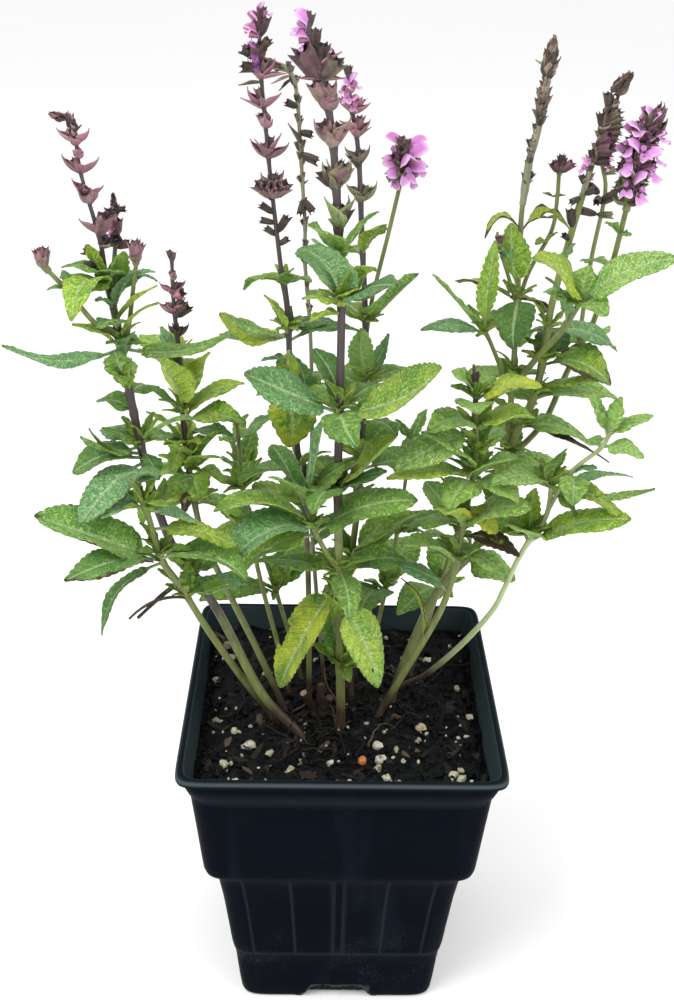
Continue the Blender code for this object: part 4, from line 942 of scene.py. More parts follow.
# The veins of a leaf as a group: the pale midrib, the veins that branch off it, and the net between them. It
# also tells how far a point is from the midrib, and how far along the blade.
VEINS, (blade, pairs, slant, mesh), result = new_group(
    "veins", {"Blade": "Vector", "Pairs": "Float", "Slant": "Float", "Mesh": "Float"},
    ["Midrib", "Branches", "Net", "Far", "Along"])
across, along, _ = put(VEINS, "SeparateXYZ", {0: blade}).outputs
far = times(calc("ABSOLUTE", minus(across, 0.5)), 2)
slanted = plus(minus(along, times(far, slant)), times(clouds(blade, 7), 0.03))
beat = calc("ABSOLUTE", calc("SINE", times(times(slanted, pairs), pi)))
drawn_out = put(VEINS, "CombineXYZ", {0: across, 1: times(along, 2.6)}).outputs[0]
net = cells(drawn_out, mesh, feature="DISTANCE_TO_EDGE")["Distance"]
for label, value in (("Midrib", calc("MAXIMUM", fade(far, 0.12, 0.035), fade(along, 0.2, 0.1))),
                     ("Branches", times(fade(beat, 0.3, 0.02), fade(far, 1.1, 0.5))),
                     ("Net", fade(net, 0.12, 0)), ("Far", far), ("Along", along)):
    VEINS.links.new(value, result[label])


def veined(shader, pairs, slant, mesh):
    """The veins of a material's blades: their masks, and how far out and along a point is."""
    blade = put(shader.id_data, "UVMap", uv_map="blade").outputs[0]
    return put(shader.id_data, "Group", {
        "Blade": blade, "Pairs": pairs, "Slant": slant, "Mesh": mesh}, node_tree=VEINS).outputs


leaf_skin, shader, place = new_finish("leaf_skin", 0.5, specular_ior_level=0.25, sheen_weight=0.03,
                                      subsurface_weight=0.2, subsurface_scale=0.0015)
shader.inputs["Subsurface Radius"].default_value = (0.6, 1, 0.25)
yellowness, blueness, brownness, lightness = tints_of(shader)
midrib, branches, net, far, along = veined(shader, 8, VEIN_SLANT, 14)
patch, fine, stain = clouds(place, 95, 3), clouds(place, 700, 3), clouds(place, 230, 4, 0.65)
light = plus(plus(times(patch, 0.55), minus(lightness, 0.32)), times(minus(fine, 0.5), 0.6))
# Painted highlight: pale spots laid on the blade where its lightness and fine noise are high.
painted_glint = times(fade(plus(times(fine, 0.9), times(light, 0.75)), 0.78, 1.15), 0.7)
rim = calc("MAXIMUM", far, calc("POWER", along, 3))
burnt = plus(plus(times(rim, 0.42), times(stain, 0.75)), times(brownness, 0.55))
bluish = coated(
    mixed(light, (0.05, 0.14, 0.052), (0.28, 0.54, 0.26)),
    (times(painted_glint, 0.5), (0.47, 0.7, 0.48)))
green = coated(
    mixed(light, (0.028, 0.086, 0.01), (0.3, 0.59, 0.065)),
    (painted_glint, (0.5, 0.74, 0.15)),
    (times(yellowness, fade(patch, 0.25, 0.62)), (0.62, 0.66, 0.04)),
    (blueness, bluish),
    # Painted shade in the sunken net of small veins between the puckers.
    (times(times(net, fade(yellowness, 0.8, 0)), 0.32), (0.03, 0.1, 0.01)),
    (times(branches, 0.26), (0.4, 0.62, 0.17)),
    (times(midrib, 0.72), (0.5, 0.66, 0.33)),
    (fade(burnt, 0.94, 1.03), mixed(fine, (0.016, 0.011, 0.008), (0.12, 0.07, 0.036))),
    (times(fade(rim, 0.9, 1), 0.3), (0.1, 0.055, 0.045)))
relief = minus(minus(fine, times(net, 0.6)), times(branches, 0.85))
finish_with(shader, green, plus(times(fine, 0.3), 0.35), relief, depth=0.0007)

stem_skin, shader, place = new_finish("stem_skin", 0.5, specular_ior_level=0.4)
darkness, dryness, woodiness, _ = tints_of(shader)
streak, blotch = clouds(stretched(place, (1, 1, 0.06)), 800, 3), clouds(place, 130, 4)
skin = coated(
    mixed(streak, (0.075, 0.095, 0.022), (0.27, 0.31, 0.1)),
    (fade(darkness, 0, -1), (0.46, 0.56, 0.29)),
    (fade(plus(darkness, times(minus(blotch, 0.5), 0.9)), 0.2, 0.8),
     mixed(streak, (0.014, 0.01, 0.013), (0.115, 0.085, 0.09))),
    (dryness, mixed(streak, (0.045, 0.045, 0.028), (0.36, 0.36, 0.25))),
    (fade(plus(woodiness, times(blotch, 0.6)), 0.45, 1.1),
     mixed(streak, (0.01, 0.007, 0.005), (0.1, 0.065, 0.04))))
finish_with(shader, skin, plus(times(streak, 0.25), 0.35), plus(streak, times(blotch, 0.5)), depth=0.0003)

leafy_node("front_stem", [
    Shoot(2.3, 1.5, [(0, -13, 102), (0, -13, 114), (-1, -15, 150), (-2, -17, 184), (-3, -19, 216), (-3, -21, 245),
        (-3, -23, 281), (-4, -24, 299)], [
        (245, 200, 30, 35, 17, -0.05, BLUISH, 0, (), -0.25),
        (245, 335, 30, 40, 20, -0.1, TIPPED, 0.06, (), 0.4), (245, 110, 5, 23, 13),
        (245, 295, -5, 20, 13, 0.15), (281, 215, 55, 25, 20, 0.15, BLUISH),
        (281, 320, 30, 23, 16, 0.08, SCORCHED, 0, (), 0.3), (282, 105, -10, 25, 13),
        (294, 220, 65, 18, 12, 0.08), (294, 290, 60, 20, 11), (216, 330, 50, 32, 15, 0, OLIVE, 0, (), 0.35),
        (215, 150, 15, 18, 15), (183, 165, 0, 31, 13), (183, 25, 0, 26, 13),
        (142, 130, 75, 32, 11, 0), (142, 35, 0, 15, 9),
        (180, 204, -56, 45, 18, 0.03, TORN, -0.05, ((0.62, -0.9, 0.09), (0.45, 0.35, 0.025), (0.5, 0.3, 0.02))),
        (172, 329, -57, 35, 21, 0.03, GOLDEN, -0.03,
         ((0.72, -0.45, 0.03), (0.66, -0.6, 0.025), (0.8, -0.3, 0.02))),
        (216, 250, 10, 24, 11, 0.12), (184, 280, -15, 22, 10, 0.15), (246, 45, 10, 22, 11)]),
    Shoot(1.1, 0.9, [(-2, -17, 184), (-9, -20, 198), (-14, -23, 213), (-14, -24, 228)], [
        (201, 340, 30, 39, 19, 0.08, MATURE, -0.03, (), 0.2), (202, 200, 25, 37, 20, 0.12, FRESH),
        (203, 215, -5, 33, 22, 0.2, BLUISH), (200, 190, -25, 28, 22, 0.15, FRESH, -0.03, ((0.6, 0.3, 0.06),)),
        (213, 225, 65, 30, 12, 0.05, DARK), (213, 305, 80, 31, 11, 0, BLUISH), (213, 240, 45, 22, 13),
        (211, 315, 55, 25, 13)])],
    darks=[(150, 0.12), (195, 0.25), (225, 0.85), (300, 1)], look=MATURE, extra={
        0: [(281, 320, 50, 19, 10, 0.1, OLIVE), (281, 135, 60, 22, 9, 0.1, BLUISH),
        (279, 295, 50, 14, 6, 0.1, LIME), (281, 200, 20, 13, 8, 0.1, LIME), (279, 210, -5, 11, 6, 0.1, LIME),
        (247, 140, 60, 20, 11, 0.1, DARK), (247, 220, 60, 13, 6, 0.1, OLIVE), (214, 330, 40, 22, 9, 0.1, DARK),
        (145, 225, 75, 35, 6, 0.1, OLIVE)]})


# The rear stem: it rises behind the front one, dark from halfway up, with a thin leafless side shoot
# that carries a bloom.
leafy_node("rear_stem", [
    Shoot(1.8, 1.2, [(5, 3, 102), (4, 5, 114), (2, 9, 157), (5, 14, 195), (6, 17, 226), (6, 18, 259),
        (4, 18, 290)], [
        (285, 315, 55, 16, 9, 0.1, OLIVE), (285, 120, 0, 10, 9), (261, 330, 50, 28, 18, 0),
        (261, 120, 15, 15, 12), (239, 255, 75, 24, 9, 0.05, PALE), (241, 40, 55, 18, 6, -0.1, BLUISH),
        (236, 20, 20, 21, 13, 0.12), (236, 140, 10, 21, 13), (210, 45, 45, 19, 13, 0.05),
        (207, 20, -10, 31, 17, 0.12), (207, 140, -20, 22, 17, 0.12), (172, 15, 35, 31, 18, 0.08, FRESH),
        (172, 155, -40, 31, 17, 0.15), (225, 300, 10, 22, 10), (190, 230, 0, 24, 11)]),
    Shoot(0.9, 0.9, [(6, 18, 253), (8, 20, 269), (13, 24, 291), (16, 26, 305), (17, 27, 309)], [])],
    darks=[(150, 0.15), (190, 0.3), (215, 0.8), (300, 0.95)], look=MATURE, green=(1,), extra={
        0: [(239, 340, 15, 17, 8, 0.1, OLIVE), (172, 330, 50, 26, 11, 0.1, FRESH)]})


# The left centre stem: slender and almost black above, with a leaf that has turned yellow and hangs
# down behind it.
leafy_node("left_centre_stem", [
    Shoot(1.4, 1.2, [(-12, 3, 102), (-12, 3, 112), (-13, 3, 177), (-16, 1, 214), (-19, -1, 248), (-20, -2, 272),
        (-22, -3, 286)], [
        (281, 140, -15, 18, 8, 0.2), (281, 315, 25, 11, 12), (265, 170, 5, 23, 12, -0.15, LIME, 0.1),
        (265, 35, 0, 19, 11, 0.1, DARK), (264, 155, -5, 26, 12, -0.1, BLUISH),
        (244, 270, -55, 19, 16, 0.2, YELLOW), (244, 45, 10, 15, 15), (242, 130, -15, 19, 12, 0.12),
        (214, 150, -25, 28, 15), (214, 40, -25, 26, 15), (228, 100, 0, 20, 9),
        (196, 250, -10, 24, 11, 0.12), (196, 70, 5, 22, 10)])],
    darks=[(150, 0.2), (200, 0.7), (290, 1)], look=MATURE, extra={
        0: [(263, 205, 65, 17, 5, 0.05, LIME), (262, 80, 75, 11, 3, 0.05, DARK), (264, 195, 25, 22, 7, -0.1, PALE),
        (255, 205, 10, 10, 6, 0.1, BLUISH), (260, 250, -70, 18, 8, 0.1, OLIVE), (258, 325, -65, 17, 6, 0.1, DARK),
        (236, 200, -15, 19, 5, 0.1, BLUISH), (262, 5, 10, 23, 7, 0.1, DARK)]})


# The left stem: the tallest on that side, purple-brown from the middle up, with two long bluish leaves
# held level like wings, and three short flowering branches at its top.
leafy_node("left_stem", [
    Shoot(2.1, 1.4, [(-12, -19, 102), (-15, -18, 114), (-29, -16, 131), (-43, -16, 164), (-51, -18, 181),
        (-58, -20, 194), (-63, -22, 213), (-66, -24, 232), (-69, -26, 257), (-71, -27, 277), (-73, -28, 292)], [
        (268, 195, 0, 35, 10, -0.1, BLUISH, 0.1), (268, 350, 15, 35, 11, -0.14), (274, 240, 25, 20, 8),
        (287, 245, 10, 20, 13, 0.2, FRESH, -0.3), (287, 290, 40, 15, 9), (287, 35, 0, 16, 12, 0.2, BLUISH),
        (288, 265, 30, 15, 9, 0.2), (234, 215, 25, 22, 10, -0.15), (234, 330, 35, 25, 10),
        (236, 155, 5, 15, 10, 0.1, BLUISH), (231, 195, -10, 23, 15, 0.15, DARK),
        (228, 220, -20, 31, 15, 0.12, BLUISH), (246, 160, 10, 13, 12), (252, 75, -10, 16, 12),
        (257, 245, 60, 15, 10, 0), (210, 60, 10, 20, 9), (182, 240, -20, 24, 1.8, 0.12, DRY),
        (182, 60, 0, 22, 10)]),
    Shoot(1, 0.8, [(-71, -27, 272), (-77, -30, 277), (-83, -33, 287), (-88, -35, 294)], []),
    Shoot(0.9, 0.8, [(-69, -26, 266), (-66, -30, 280), (-64, -32, 291), (-63, -33, 296)], []),
    Shoot(0.9, 0.8, [(-72, -27, 280), (-72, -22, 288), (-71, -19, 298), (-71, -18, 303)], [])],
    darks=[(150, 0.1), (165, 0.55), (185, 0.9), (255, 0.95), (275, 0.45), (300, 0.5)], look=MATURE, green=(1, 2),
    extra={
        0: [(290, 245, -10, 14, 10, 0.05, FRESH), (283, 235, 70, 21, 6, 0.05, OLIVE),
        (284, 315, 65, 18, 7, 0.05, FRESH), (279, 330, 45, 22, 8, 0.2, BLUISH), (277, 325, 40, 22, 4, 0.05, LIME),
        (269, 325, 50, 22, 3.4, 0.1, FRESH), (281, 255, 30, 12, 4.5, 0.1, BLUISH),
        (268, 215, 35, 18, 3.6, 0.1, FRESH), (254, 235, 55, 11, 5, 0, OLIVE),
        (230, 220, 35, 24, 3.6, -0.1, DULL, 0.1), (231, 210, 45, 17, 6), (252, 285, 70, 15, 4, 0.05, FRESH),
        (264, 305, 55, 14, 6, 0.1, BLUISH), (232, 315, -40, 11, 6, 0.1, DARK), (213, 205, 0, 32, 9, 0.1, OLIVE)],
        1: [(289, 215, 5, 5, 3), (287, 255, 75, 8, 4, 0.1, BLUISH)]})


# The left low stem: it leans out over the pot's edge, with large lower leaves that slugs have bitten,
# so they have brown edges and small black holes.
leafy_node("left_low_stem", [
    Shoot(1.6, 1.1, [(-20, -8, 102), (-24, -9, 113), (-37, -13, 137), (-48, -22, 164), (-55, -31, 186),
        (-60, -37, 200), (-63, -41, 219), (-67, -42, 231)], [
        (200, 200, 30, 44, 20, 0, SPOTTED, 0.03, ((0.7, 0.4, 0.02), (0.74, 0.2, 0.015)), -0.35),
        (199, 215, 15, 38, 14, 0.08, BITTEN), (198, 210, -40, 31, 7, 0.15, DARK),
        (200, 335, 5, 32, 20, 0.12, MATURE, -0.03, ((0.6, 0.1, 0.025),)), (220, 185, -10, 23, 18),
        (220, 25, -35, 32, 15, 0.06), (231, 255, 40, 12, 12), (231, 55, 20, 9, 12),
        (180, 230, 10, 26, 1.8, 0.1, DRY), (180, 50, 0, 22, 10)])],
    darks=[(110, 0.25), (160, 0.1), (230, 0.1)], look=BLUISH, extra={
        0: [(212, 350, -5, 28, 8, 0.08, OLIVE)]})


# The left back stem: nearly black round its joints halfway up, with fresh bright leaves above. It stands
# behind the left stem and bears a small spike of its own.
leafy_node("left_back_stem", [
    Shoot(1.6, 1.1, [(-17, -5, 102), (-20, -4, 112), (-32, 2, 139), (-41, 7, 157), (-51, 12, 179), (-55, 15, 198),
        (-57, 17, 217), (-58, 18, 243), (-58, 18, 252)], [
        (227, 220, 65, 31, 16, 0.1, LIME), (229, 40, 60, 22, 9, 0.05, LIME), (225, 20, 30, 25, 11, 0.15, LIME),
        (224, 345, 10, 23, 12, 0.12), (248, 135, 10, 20, 17), (247, 60, -45, 18, 13, 0.12),
        (206, 235, 55, 22, 12), (206, 275, 55, 23, 11, 0.05), (205, 315, 40, 20, 12),
        (204, 335, 5, 15, 11, 0.15), (204, 285, 0, 19, 12, 0.2), (204, 230, 0, 16, 12, 0.2),
        (193, 145, -30, 31, 17, 0.15), (193, 50, -35, 25, 17, 0.15), (215, 100, 0, 20, 9)])],
    darks=[(150, 0.15), (190, 0.4), (205, 1), (260, 0.9)], look=FRESH, young=LIME, extra={
        0: [(226, 210, 50, 19, 9, 0.1, DARK), (232, 195, 60, 25, 5), (238, 145, 70, 21, 7, 0.1, BLUISH),
        (219, 345, 10, 18, 7, 0.1, BLUISH), (216, 215, 25, 15, 8, 0.1, BLUISH), (214, 200, 50, 21, 6),
        (216, 235, -50, 12, 7), (200, 230, -65, 13, 4, 0.1, DRY)]})


# The middle left stem: a short green one with a dry tip. It stands between the left stem and the centre,
# and no spike grows on it.
leafy_node("middle_left_stem", [
    Shoot(1.2, 0.9, [(-17, 4, 102), (-19, 6, 113), (-25, 12, 137), (-31, 18, 159), (-35, 24, 177), (-38, 28, 196),
        (-39, 30, 211), (-40, 31, 221)], [
        (192, 80, 35, 13, 12), (192, 25, -20, 22, 12), (212, 55, 0, 11, 7),
        (212, 130, -20, 12, 7), (172, 145, -20, 28, 18, 0.15), (172, 40, -35, 30, 17, 0.15)])],
    darks=[(150, 0.1), (205, 0.2), (225, 0.6)], look=FRESH)


# The right stem: it forks again and again. All of it is green, and its leaves range from fresh ones to
# bronze and yellow ones that curl before they drop.
leafy_node("right_stem", [
    Shoot(2.2, 1.3, [(17, 1, 102), (19, 2, 114), (22, 4, 125), (32, 7, 154), (38, 9, 165), (47, 11, 176),
        (54, 12, 189), (57, 13, 209), (60, 12, 225), (64, 11, 236), (66, 10, 250), (67, 9, 271), (71, 8, 297),
        (73, 7, 309)], [
        (205, 220, 40, 26, 13), (206, 30, -5, 29, 17, 0.15), (225, 125, -5, 16, 17, 0.12),
        (226, 25, -10, 25, 17, 0.12), (237, 15, 0, 31, 17, 0.12), (236, 125, -5, 19, 13),
        (250, 345, -10, 24, 17, 0.2, EDGED), (250, 65, 20, 21, 12, 0.1, DARK), (173, 225, 40, 29, 17, 0.12),
        (173, 340, -10, 20, 18, 0.12), (263, 5, -15, 26, 12, 0.1, BLUISH, -0.03, (), 0.3),
        (263, 70, -30, 22, 12), (215, 80, 10, 22, 10), (215, 260, 0, 24, 11),
        (190, 300, 20, 24, 11)]),
    Shoot(1.4, 1, [(57, 13, 209), (57, 13, 217), (57, 13, 242), (56, 12, 272), (55, 12, 297), (55, 12, 304)], [
        (272, 190, 20, 23, 10, 0.1, BRONZE), (273, 260, -35, 20, 13, 0.2, DARK),
        (273, 25, -25, 16, 12, 0.1, BRONZE), (276, 225, 75, 24, 11, 0, FRESH), (296, 190, -10, 12, 7, 0.5, BRONZE),
        (295, 350, 5, 16, 8, 0.4, BRONZE), (244, 145, -10, 19, 12), (244, 55, -10, 22, 11)]),
    Shoot(1.3, 1, [(57, 13, 240), (63, 4, 255), (69, -3, 267), (73, -8, 279)], [
        (279, 210, 45, 26, 17, 0.1, OLIVE, -0.03, (), -0.45), (279, 340, 35, 33, 17, 0.08, PALE, -0.03, (), 0.35),
        (278, 140, 10, 13, 11), (279, 65, 60, 13, 9), (278, 300, 5, 13, 10, 0.15)]),
    Shoot(1.1, 0.8, [(57, 13, 236), (55, 13, 242), (47, 6, 260), (44, 4, 265)], [
        (263, 190, 10, 22, 11, 0.1, BLUISH), (264, 195, 50, 28, 9, 0), (264, 290, 85, 32, 6.5, 0, FRESH),
        (264, 55, 25, 12, 7)]),
    Shoot(1.3, 1, [(58, 13, 214), (66, 20, 218), (72, 22, 226), (77, 24, 240), (82, 25, 253), (84, 20, 262),
        (86, 12, 284), (87, 6, 304)], [
        (284, 135, 0, 12, 7), (285, 300, 5, 8, 9, 0.12), (252, 45, 10, 16, 12),
        (252, 120, 10, 13, 11)]),
    Shoot(1, 0.8, [(77, 24, 240), (81, 27, 252), (82, 28, 267), (83, 29, 283), (85, 29, 304), (83, 29, 313)], []),
    Shoot(0.9, 0.8, [(56, 12, 269), (60, 18, 280), (67, 22, 293), (68, 23, 303), (68, 24, 311)], []),
    Shoot(0.8, 0.8, [(56, 12, 270), (52, 10, 281), (48, 8, 291)], [])],
    darks=[(110, 0.1), (250, 0.12), (320, 0.3)], look=SUNLIT, extra={
        0: [(285, 320, 70, 9, 4, 0.1, BLUISH), (240, 340, 20, 23, 6, 0.05, OLIVE),
        (228, 5, -25, 37, 3.5, 0.05, DRY)],
        2: [(270, 205, 60, 19, 9, 0.15, BLUISH)],
        4: [(296, 210, 35, 8, 4), (296, 315, 10, 4, 4)],
        6: [(290, 220, 0, 5, 4, 0.1, FRESH), (290, 325, 45, 5, 4, 0.1, FRESH)],
        7: [(288, 220, 25, 5, 5, 0.3, BLUISH), (288, 310, 5, 4, 5, 0.3, BLUISH)]})


# The right inner stem: short, with leaves that turn yellow from their edges inward, and one small bud head
# at its tip.
leafy_node("right_inner_stem", [
    Shoot(1.7, 1, [(12, -7, 102), (14, -7, 114), (18, -7, 124), (30, -8, 151), (36, -9, 167), (39, -11, 184),
        (40, -13, 199), (41, -15, 211), (42, -17, 227), (41, -18, 241), (40, -19, 254)], [
        (221, 210, 45, 29, 13), (219, 325, 40, 20, 12), (219, 240, -10, 18, 13, 0.2),
        (218, 300, -5, 18, 13, 0.2), (238, 200, -20, 30, 13, 0.1, PALE, -0.03, (), -0.4),
        (239, 220, 15, 22, 13, 0.15), (239, 340, 20, 20, 15, 0.1, LIME), (247, 265, 15, 16, 12),
        (249, 340, 25, 22, 15, 0.1, YELLOW), (251, 180, 45, 11, 10), (250, 40, 25, 11, 9),
        (200, 145, -10, 19, 17, 0.12), (200, 325, 35, 28, 17), (200, 260, 35, 28, 12, 0.1, LIME),
        (229, 60, 5, 22, 10), (185, 200, 30, 24, 11)])],
    darks=[(110, 0.15), (240, 0.2), (256, 0.7)], look=SUNLIT, extra={
        0: [(243, 340, 40, 21, 11, 0.1, PALE), (222, 200, 5, 31, 9, 0.1, LIME),
        (172, 180, 30, 23, 10, 0.1, BLUISH), (150, 180, 75, 28, 5, 0.1, BRONZE), (208, 330, -35, 16, 6, 0.1, DRY),
        (196, 335, -5, 21, 8, 0.1, DRY), (209, 315, -20, 14, 9, 0.1, YELLOW), (190, 340, -20, 19, 8),
        (222, 200, 40, 20, 7, 0.1, BLUISH), (196, 215, 65, 32, 2.4, 0.1, DRY)]})


# The right low stem: pale green, kinked at its joints, and lying out over the rim before it rises to a
# sprig of small oblong leaves.
leafy_node("right_low_stem", [
    Shoot(1.4, 1, [(19, 14, 104), (24, 13, 114), (33, 10, 122), (45, 4, 140), (54, -4, 160), (57, -8, 172),
        (60, -12, 186), (63, -14, 195), (68, -14, 205), (69, -13, 217)], [
        (195, 340, 25, 36, 18, 0.08, OLIVE, 0, ((0.55, 0.75, 0.03),)), (195, 125, 35, 16, 18),
        (196, 300, 35, 22, 15, 0.05), (217, 335, -10, 25, 9, 0.1, OLIVE), (217, 215, 20, 29, 11, 0.1, PALE),
        (214, 5, -5, 37, 5, 0.1, BLUISH), (217, 40, 5, 16, 12, 0.05)]),
    Shoot(0.8, 0.8, [(68, -14, 206), (74, -16, 222), (82, -20, 233), (84, -22, 240)], [
        (240, 35, 75, 13, 7, 0.05), (240, 15, 25, 16, 8, 0.08), (240, 145, 60, 15, 6, 0.05),
        (234, 125, -5, 8, 9), (234, 330, 0, 14, 9), (222, 330, -45, 12, 10, 0.2)])],
    darks=[(110, -0.6), (170, -0.9), (240, -0.4)], look=SUNLIT, extra={
        0: [(214, 345, 5, 34, 4.5, -0.05, PALE, 0.1), (215, 305, 75, 17, 8, 0.1, MATURE),
        (215, 345, -10, 23, 6, 0.1, DARK), (214, 345, -40, 13, 8, 0.1, OLIVE), (194, 265, 80, 24, 7, 0.1, OLIVE)],
        1: [(222, 345, 25, 9, 6, 0.1, BLUISH)]})


# The three back stems: the front ones hide them, and their crossed pairs of leaves grow shorter
# towards the tip.
BACK_WIDTH, BACK_ARCH, BACK_TIP = 0.48, 0.12, (60, 14, 7, 0.05)
BACK_PAIRS = ((146, 70, 15, 33), (167, 160, 30, 26.5), (188, 250, 45, 20))
BACK_STEMS = {
    "back_left_stem": (1.2, 0.8, [(-13, 15, 102), (-15, 17, 114), (-25, 29, 145), (-36, 42, 175), (-43, 50, 201)]),
    "back_middle_stem": (1.2, 0.8, [(9, 17, 102), (10, 19, 114), (17, 31, 145), (23, 44, 176), (26, 53, 203)]),
    "back_right_stem": (1.4, 0.9, [(26, 20, 102), (28, 22, 114), (38, 33, 145), (48, 45, 176), (55, 53, 205)]),
}
for node, (foot, tip, route) in BACK_STEMS.items():
    rows = [(height, compass + turn, rise, length, length * BACK_WIDTH, BACK_ARCH)
            for height, compass, rise, length in BACK_PAIRS for turn in (0, 180)]
    rows += [(route[-1][2], compass, *BACK_TIP) for compass in (40, 220)]
    leafy_node(node, [Shoot(foot, tip, route, rows)], darks=[(150, 0.1), (205, 0.3)], look=MATURE)


# The front flower spike. Its flowers have mostly dropped: pairs of cupped, pointed bracts are left on it,
# dusty mauve above and greener below, and in each cup stand the ribbed, toothed calyces of the flowers.
Spike = namedtuple("Spike", "foot tip route kind whorls")
Tier = namedtuple("Tier", "turns rise length width")
TIERS = {
    "bracts": [Tier((0, 180), 40, 1, 1), Tier((80,), 60, 0.75, 0.42)],
    "spent": [Tier((0, 150), 55, 1, 0.7)],
    "bud": [Tier((0, 72, 144, 216, 288), 56, 1, 0.6)],
    "bloom": [Tier((45, 135, 225, 315), 45, 0.85, 0.45), Tier((0, 90, 180, 270), 30, 1.4, 0.45),
              Tier((0, 90, 180, 270), -10, 1.4, 0.95)],
}
WHORL_SPREAD, WHORL_TURN = 0.5, 8
WHORL_SHARES, WHORL_TILTS, WHORL_TURNS = (1, 0.8), (0, 15), (0, 10, -10)
BRACT_THICK, PETAL_THICK, BRACT_WIDEST = 0.3, 0.22, 0.42
GOLDEN_TURN = 137.5                     # from one scale of a cone to the next

Hue = namedtuple("Hue", "green dry dark light")
MAUVE = Hue(0, 0.12, 0.12, 0.55)
DUSTY = Hue(0.12, 0.38, 0.25, 0.45)
PINKISH = Hue(0, 0, 0, 0.8)
PLUM = Hue(0, 0.1, 0.7, 0.4)
ROSE = Hue(0, 0, 0, 0.85)
GREENISH = Hue(0.75, 0.1, 0.3, 0.45)
GREEN_CUP = Hue(1, 0, 0, 0.6)
HUSK = Hue(0.1, 0.95, 0.35, 0.5)
CHARRED = Hue(0.05, 0.9, 0.8, 0.3)
STRAW = Hue(0.3, 0.9, 0, 0.75)


def varied(hue, amount=0.1):
    """A hue a little lighter or darker, and a little more or less green, than asked."""
    return [min(1, max(0, value + uniform(-amount, amount))) for value in hue]


def whorl_blades(spike, height, compass, size, corners):
    """The roots and poses of one whorl's solid blades, tier by tier."""
    made, tiers = 0, []
    for tier in TIERS[spike.kind]:
        blades = []
        for turn in tier.turns:
            root = on_route(spike.route, height + WHORL_SPREAD * sin(5.1 * height + 2.3 * made))
            sway = WHORL_TURN * sin(3.7 * height + 4.1 * made)
            nominal = compass + turn + sway, tier.rise
            pose = pose_of(corners, root, *nominal, size * tier.length, WHORL_SHARES, WHORL_TILTS, WHORL_TURNS)
            turned, tilted, share = pose or (*nominal, 1)
            blades.append((root, turned, tilted, size * tier.length * share, size * tier.width * share))
            made += 1
        tiers.append(blades)
    return tiers


def bract_form(length, width, sag, cup, tip, clasp):
    """How a bract is bent: narrow at its foot or clasping the axis, cupped, in a bow, its tip drawn out."""
    def form(share, across, below):
        broad = clasp + (1 - clasp) * sin(pi / 2 * min(1, share / BRACT_WIDEST))
        half = max(0.1, width / 2 * broad * (1 - smoothed(share, BRACT_WIDEST, 1.02) ** 0.85))
        far = abs(across)
        lift = -sag * length * 4 * share * (1 - share) + cup * half * far ** 1.6 + tip * length * share ** 4
        lift += 0.1 * sin(19 * across + 3 * share) * (1 - share)
        return share, half * across, lift - (BRACT_THICK if below else 0)
    return form


bract_sheet = flat_blade(12, 8)
petal_sheet = flat_blade(10, 6)


def add_bract(shape, root, compass, rise, length, width, hue, cup=0.8, tip=0, sag=0.2, roll=0.12, clasp=0.4):
    """One bract or scale of a hue."""
    form = bract_form(length, width, sag, cup, tip, clasp)
    add_blade(shape, bract_sheet, root, compass, rise, length, form, varied(hue), uniform(-roll, roll))


CALYX_SIDES = 15
CALYX_RINGS = [(0, 0.28), (0.1, 0.62), (0.32, 0.92), (0.6, 1), (0.82, 0.98), (0.9, 0.72), (0.6, 0.3)]
CALYX_MOUTH = 4                         # the ring that its teeth grow from, before the hollow inside
CALYX_TEETH, CALYX_RIBS = 5, 10


def add_calyx(shape, root, compass, rise, length, width, hue, wide=0.5):
    """A ribbed bell with a hollow mouth and five pointed teeth, the lower ones longer."""
    part = bmesh.new()
    stacked_rings(part, CALYX_SIDES, len(CALYX_RINGS))
    made = add_part(shape, part)
    tint = shape.verts.layers.float_color["tint"]
    along, side, over = axes_of(compass, rise)
    colour = varied(hue, 0.12)
    turn = uniform(0, 6.3)
    for vertex in made:
        number = round(vertex.co.z)
        share, reach = CALYX_RINGS[number]
        angle = atan2(vertex.co.y, vertex.co.x)
        low = 1.3 - 0.6 * sin(angle + turn)
        tooth = max(0, cos(CALYX_TEETH * angle)) * low if number == CALYX_MOUTH else 0
        reach = reach * width / 2 * (1 + 0.1 * cos(CALYX_RIBS * angle)) * (1 + 0.3 * tooth * wide)
        place = root + along * length * (0.92 * share + 0.17 * tooth)
        vertex.co = place + (side * cos(angle + turn) + over * sin(angle + turn)) * reach
        vertex.co += over * 0.1 * length * share ** 2
        # Inside its mouth the calyx is painted at its darkest, painted shade in the hollow, and its ribs are
        # painted lighter on their ridges than in their grooves, painted light and shade on the relief.
        inside = number > CALYX_MOUTH
        rib = 0.14 * cos(CALYX_RIBS * angle)
        vertex[tint] = (colour[0], colour[1], 1 if inside else colour[2],
                        0 if inside else colour[3] * (0.65 + 0.5 * share) + rib)


def add_cone(shape, base, along, length, radius, count, hues):
    """A head of dead buds: small scales that overlap in a spiral and close to a point."""
    side = Vector((0, 1, 0.02)).cross(along).normalized()
    over = along.cross(side)
    for number in range(count):
        share = number / count
        turn = radians(GOLDEN_TURN * number)
        out = side * cos(turn) + over * sin(turn)
        reach = radius * sin(pi * min(1, 0.25 + 0.75 * share)) ** 0.7
        root = base + along * length * share * 0.8 + out * reach * 0.5
        aim = (along + out * (0.36 - 0.34 * share)).normalized()
        add_bract(shape, root, degrees(atan2(aim.y, aim.x)), degrees(asin(aim.z)),
                  radius * uniform(1.4, 1.9), radius * uniform(0.9, 1.2), draw.choice(hues), cup=0.6,
                  sag=uniform(0.05, 0.25), roll=0.6)


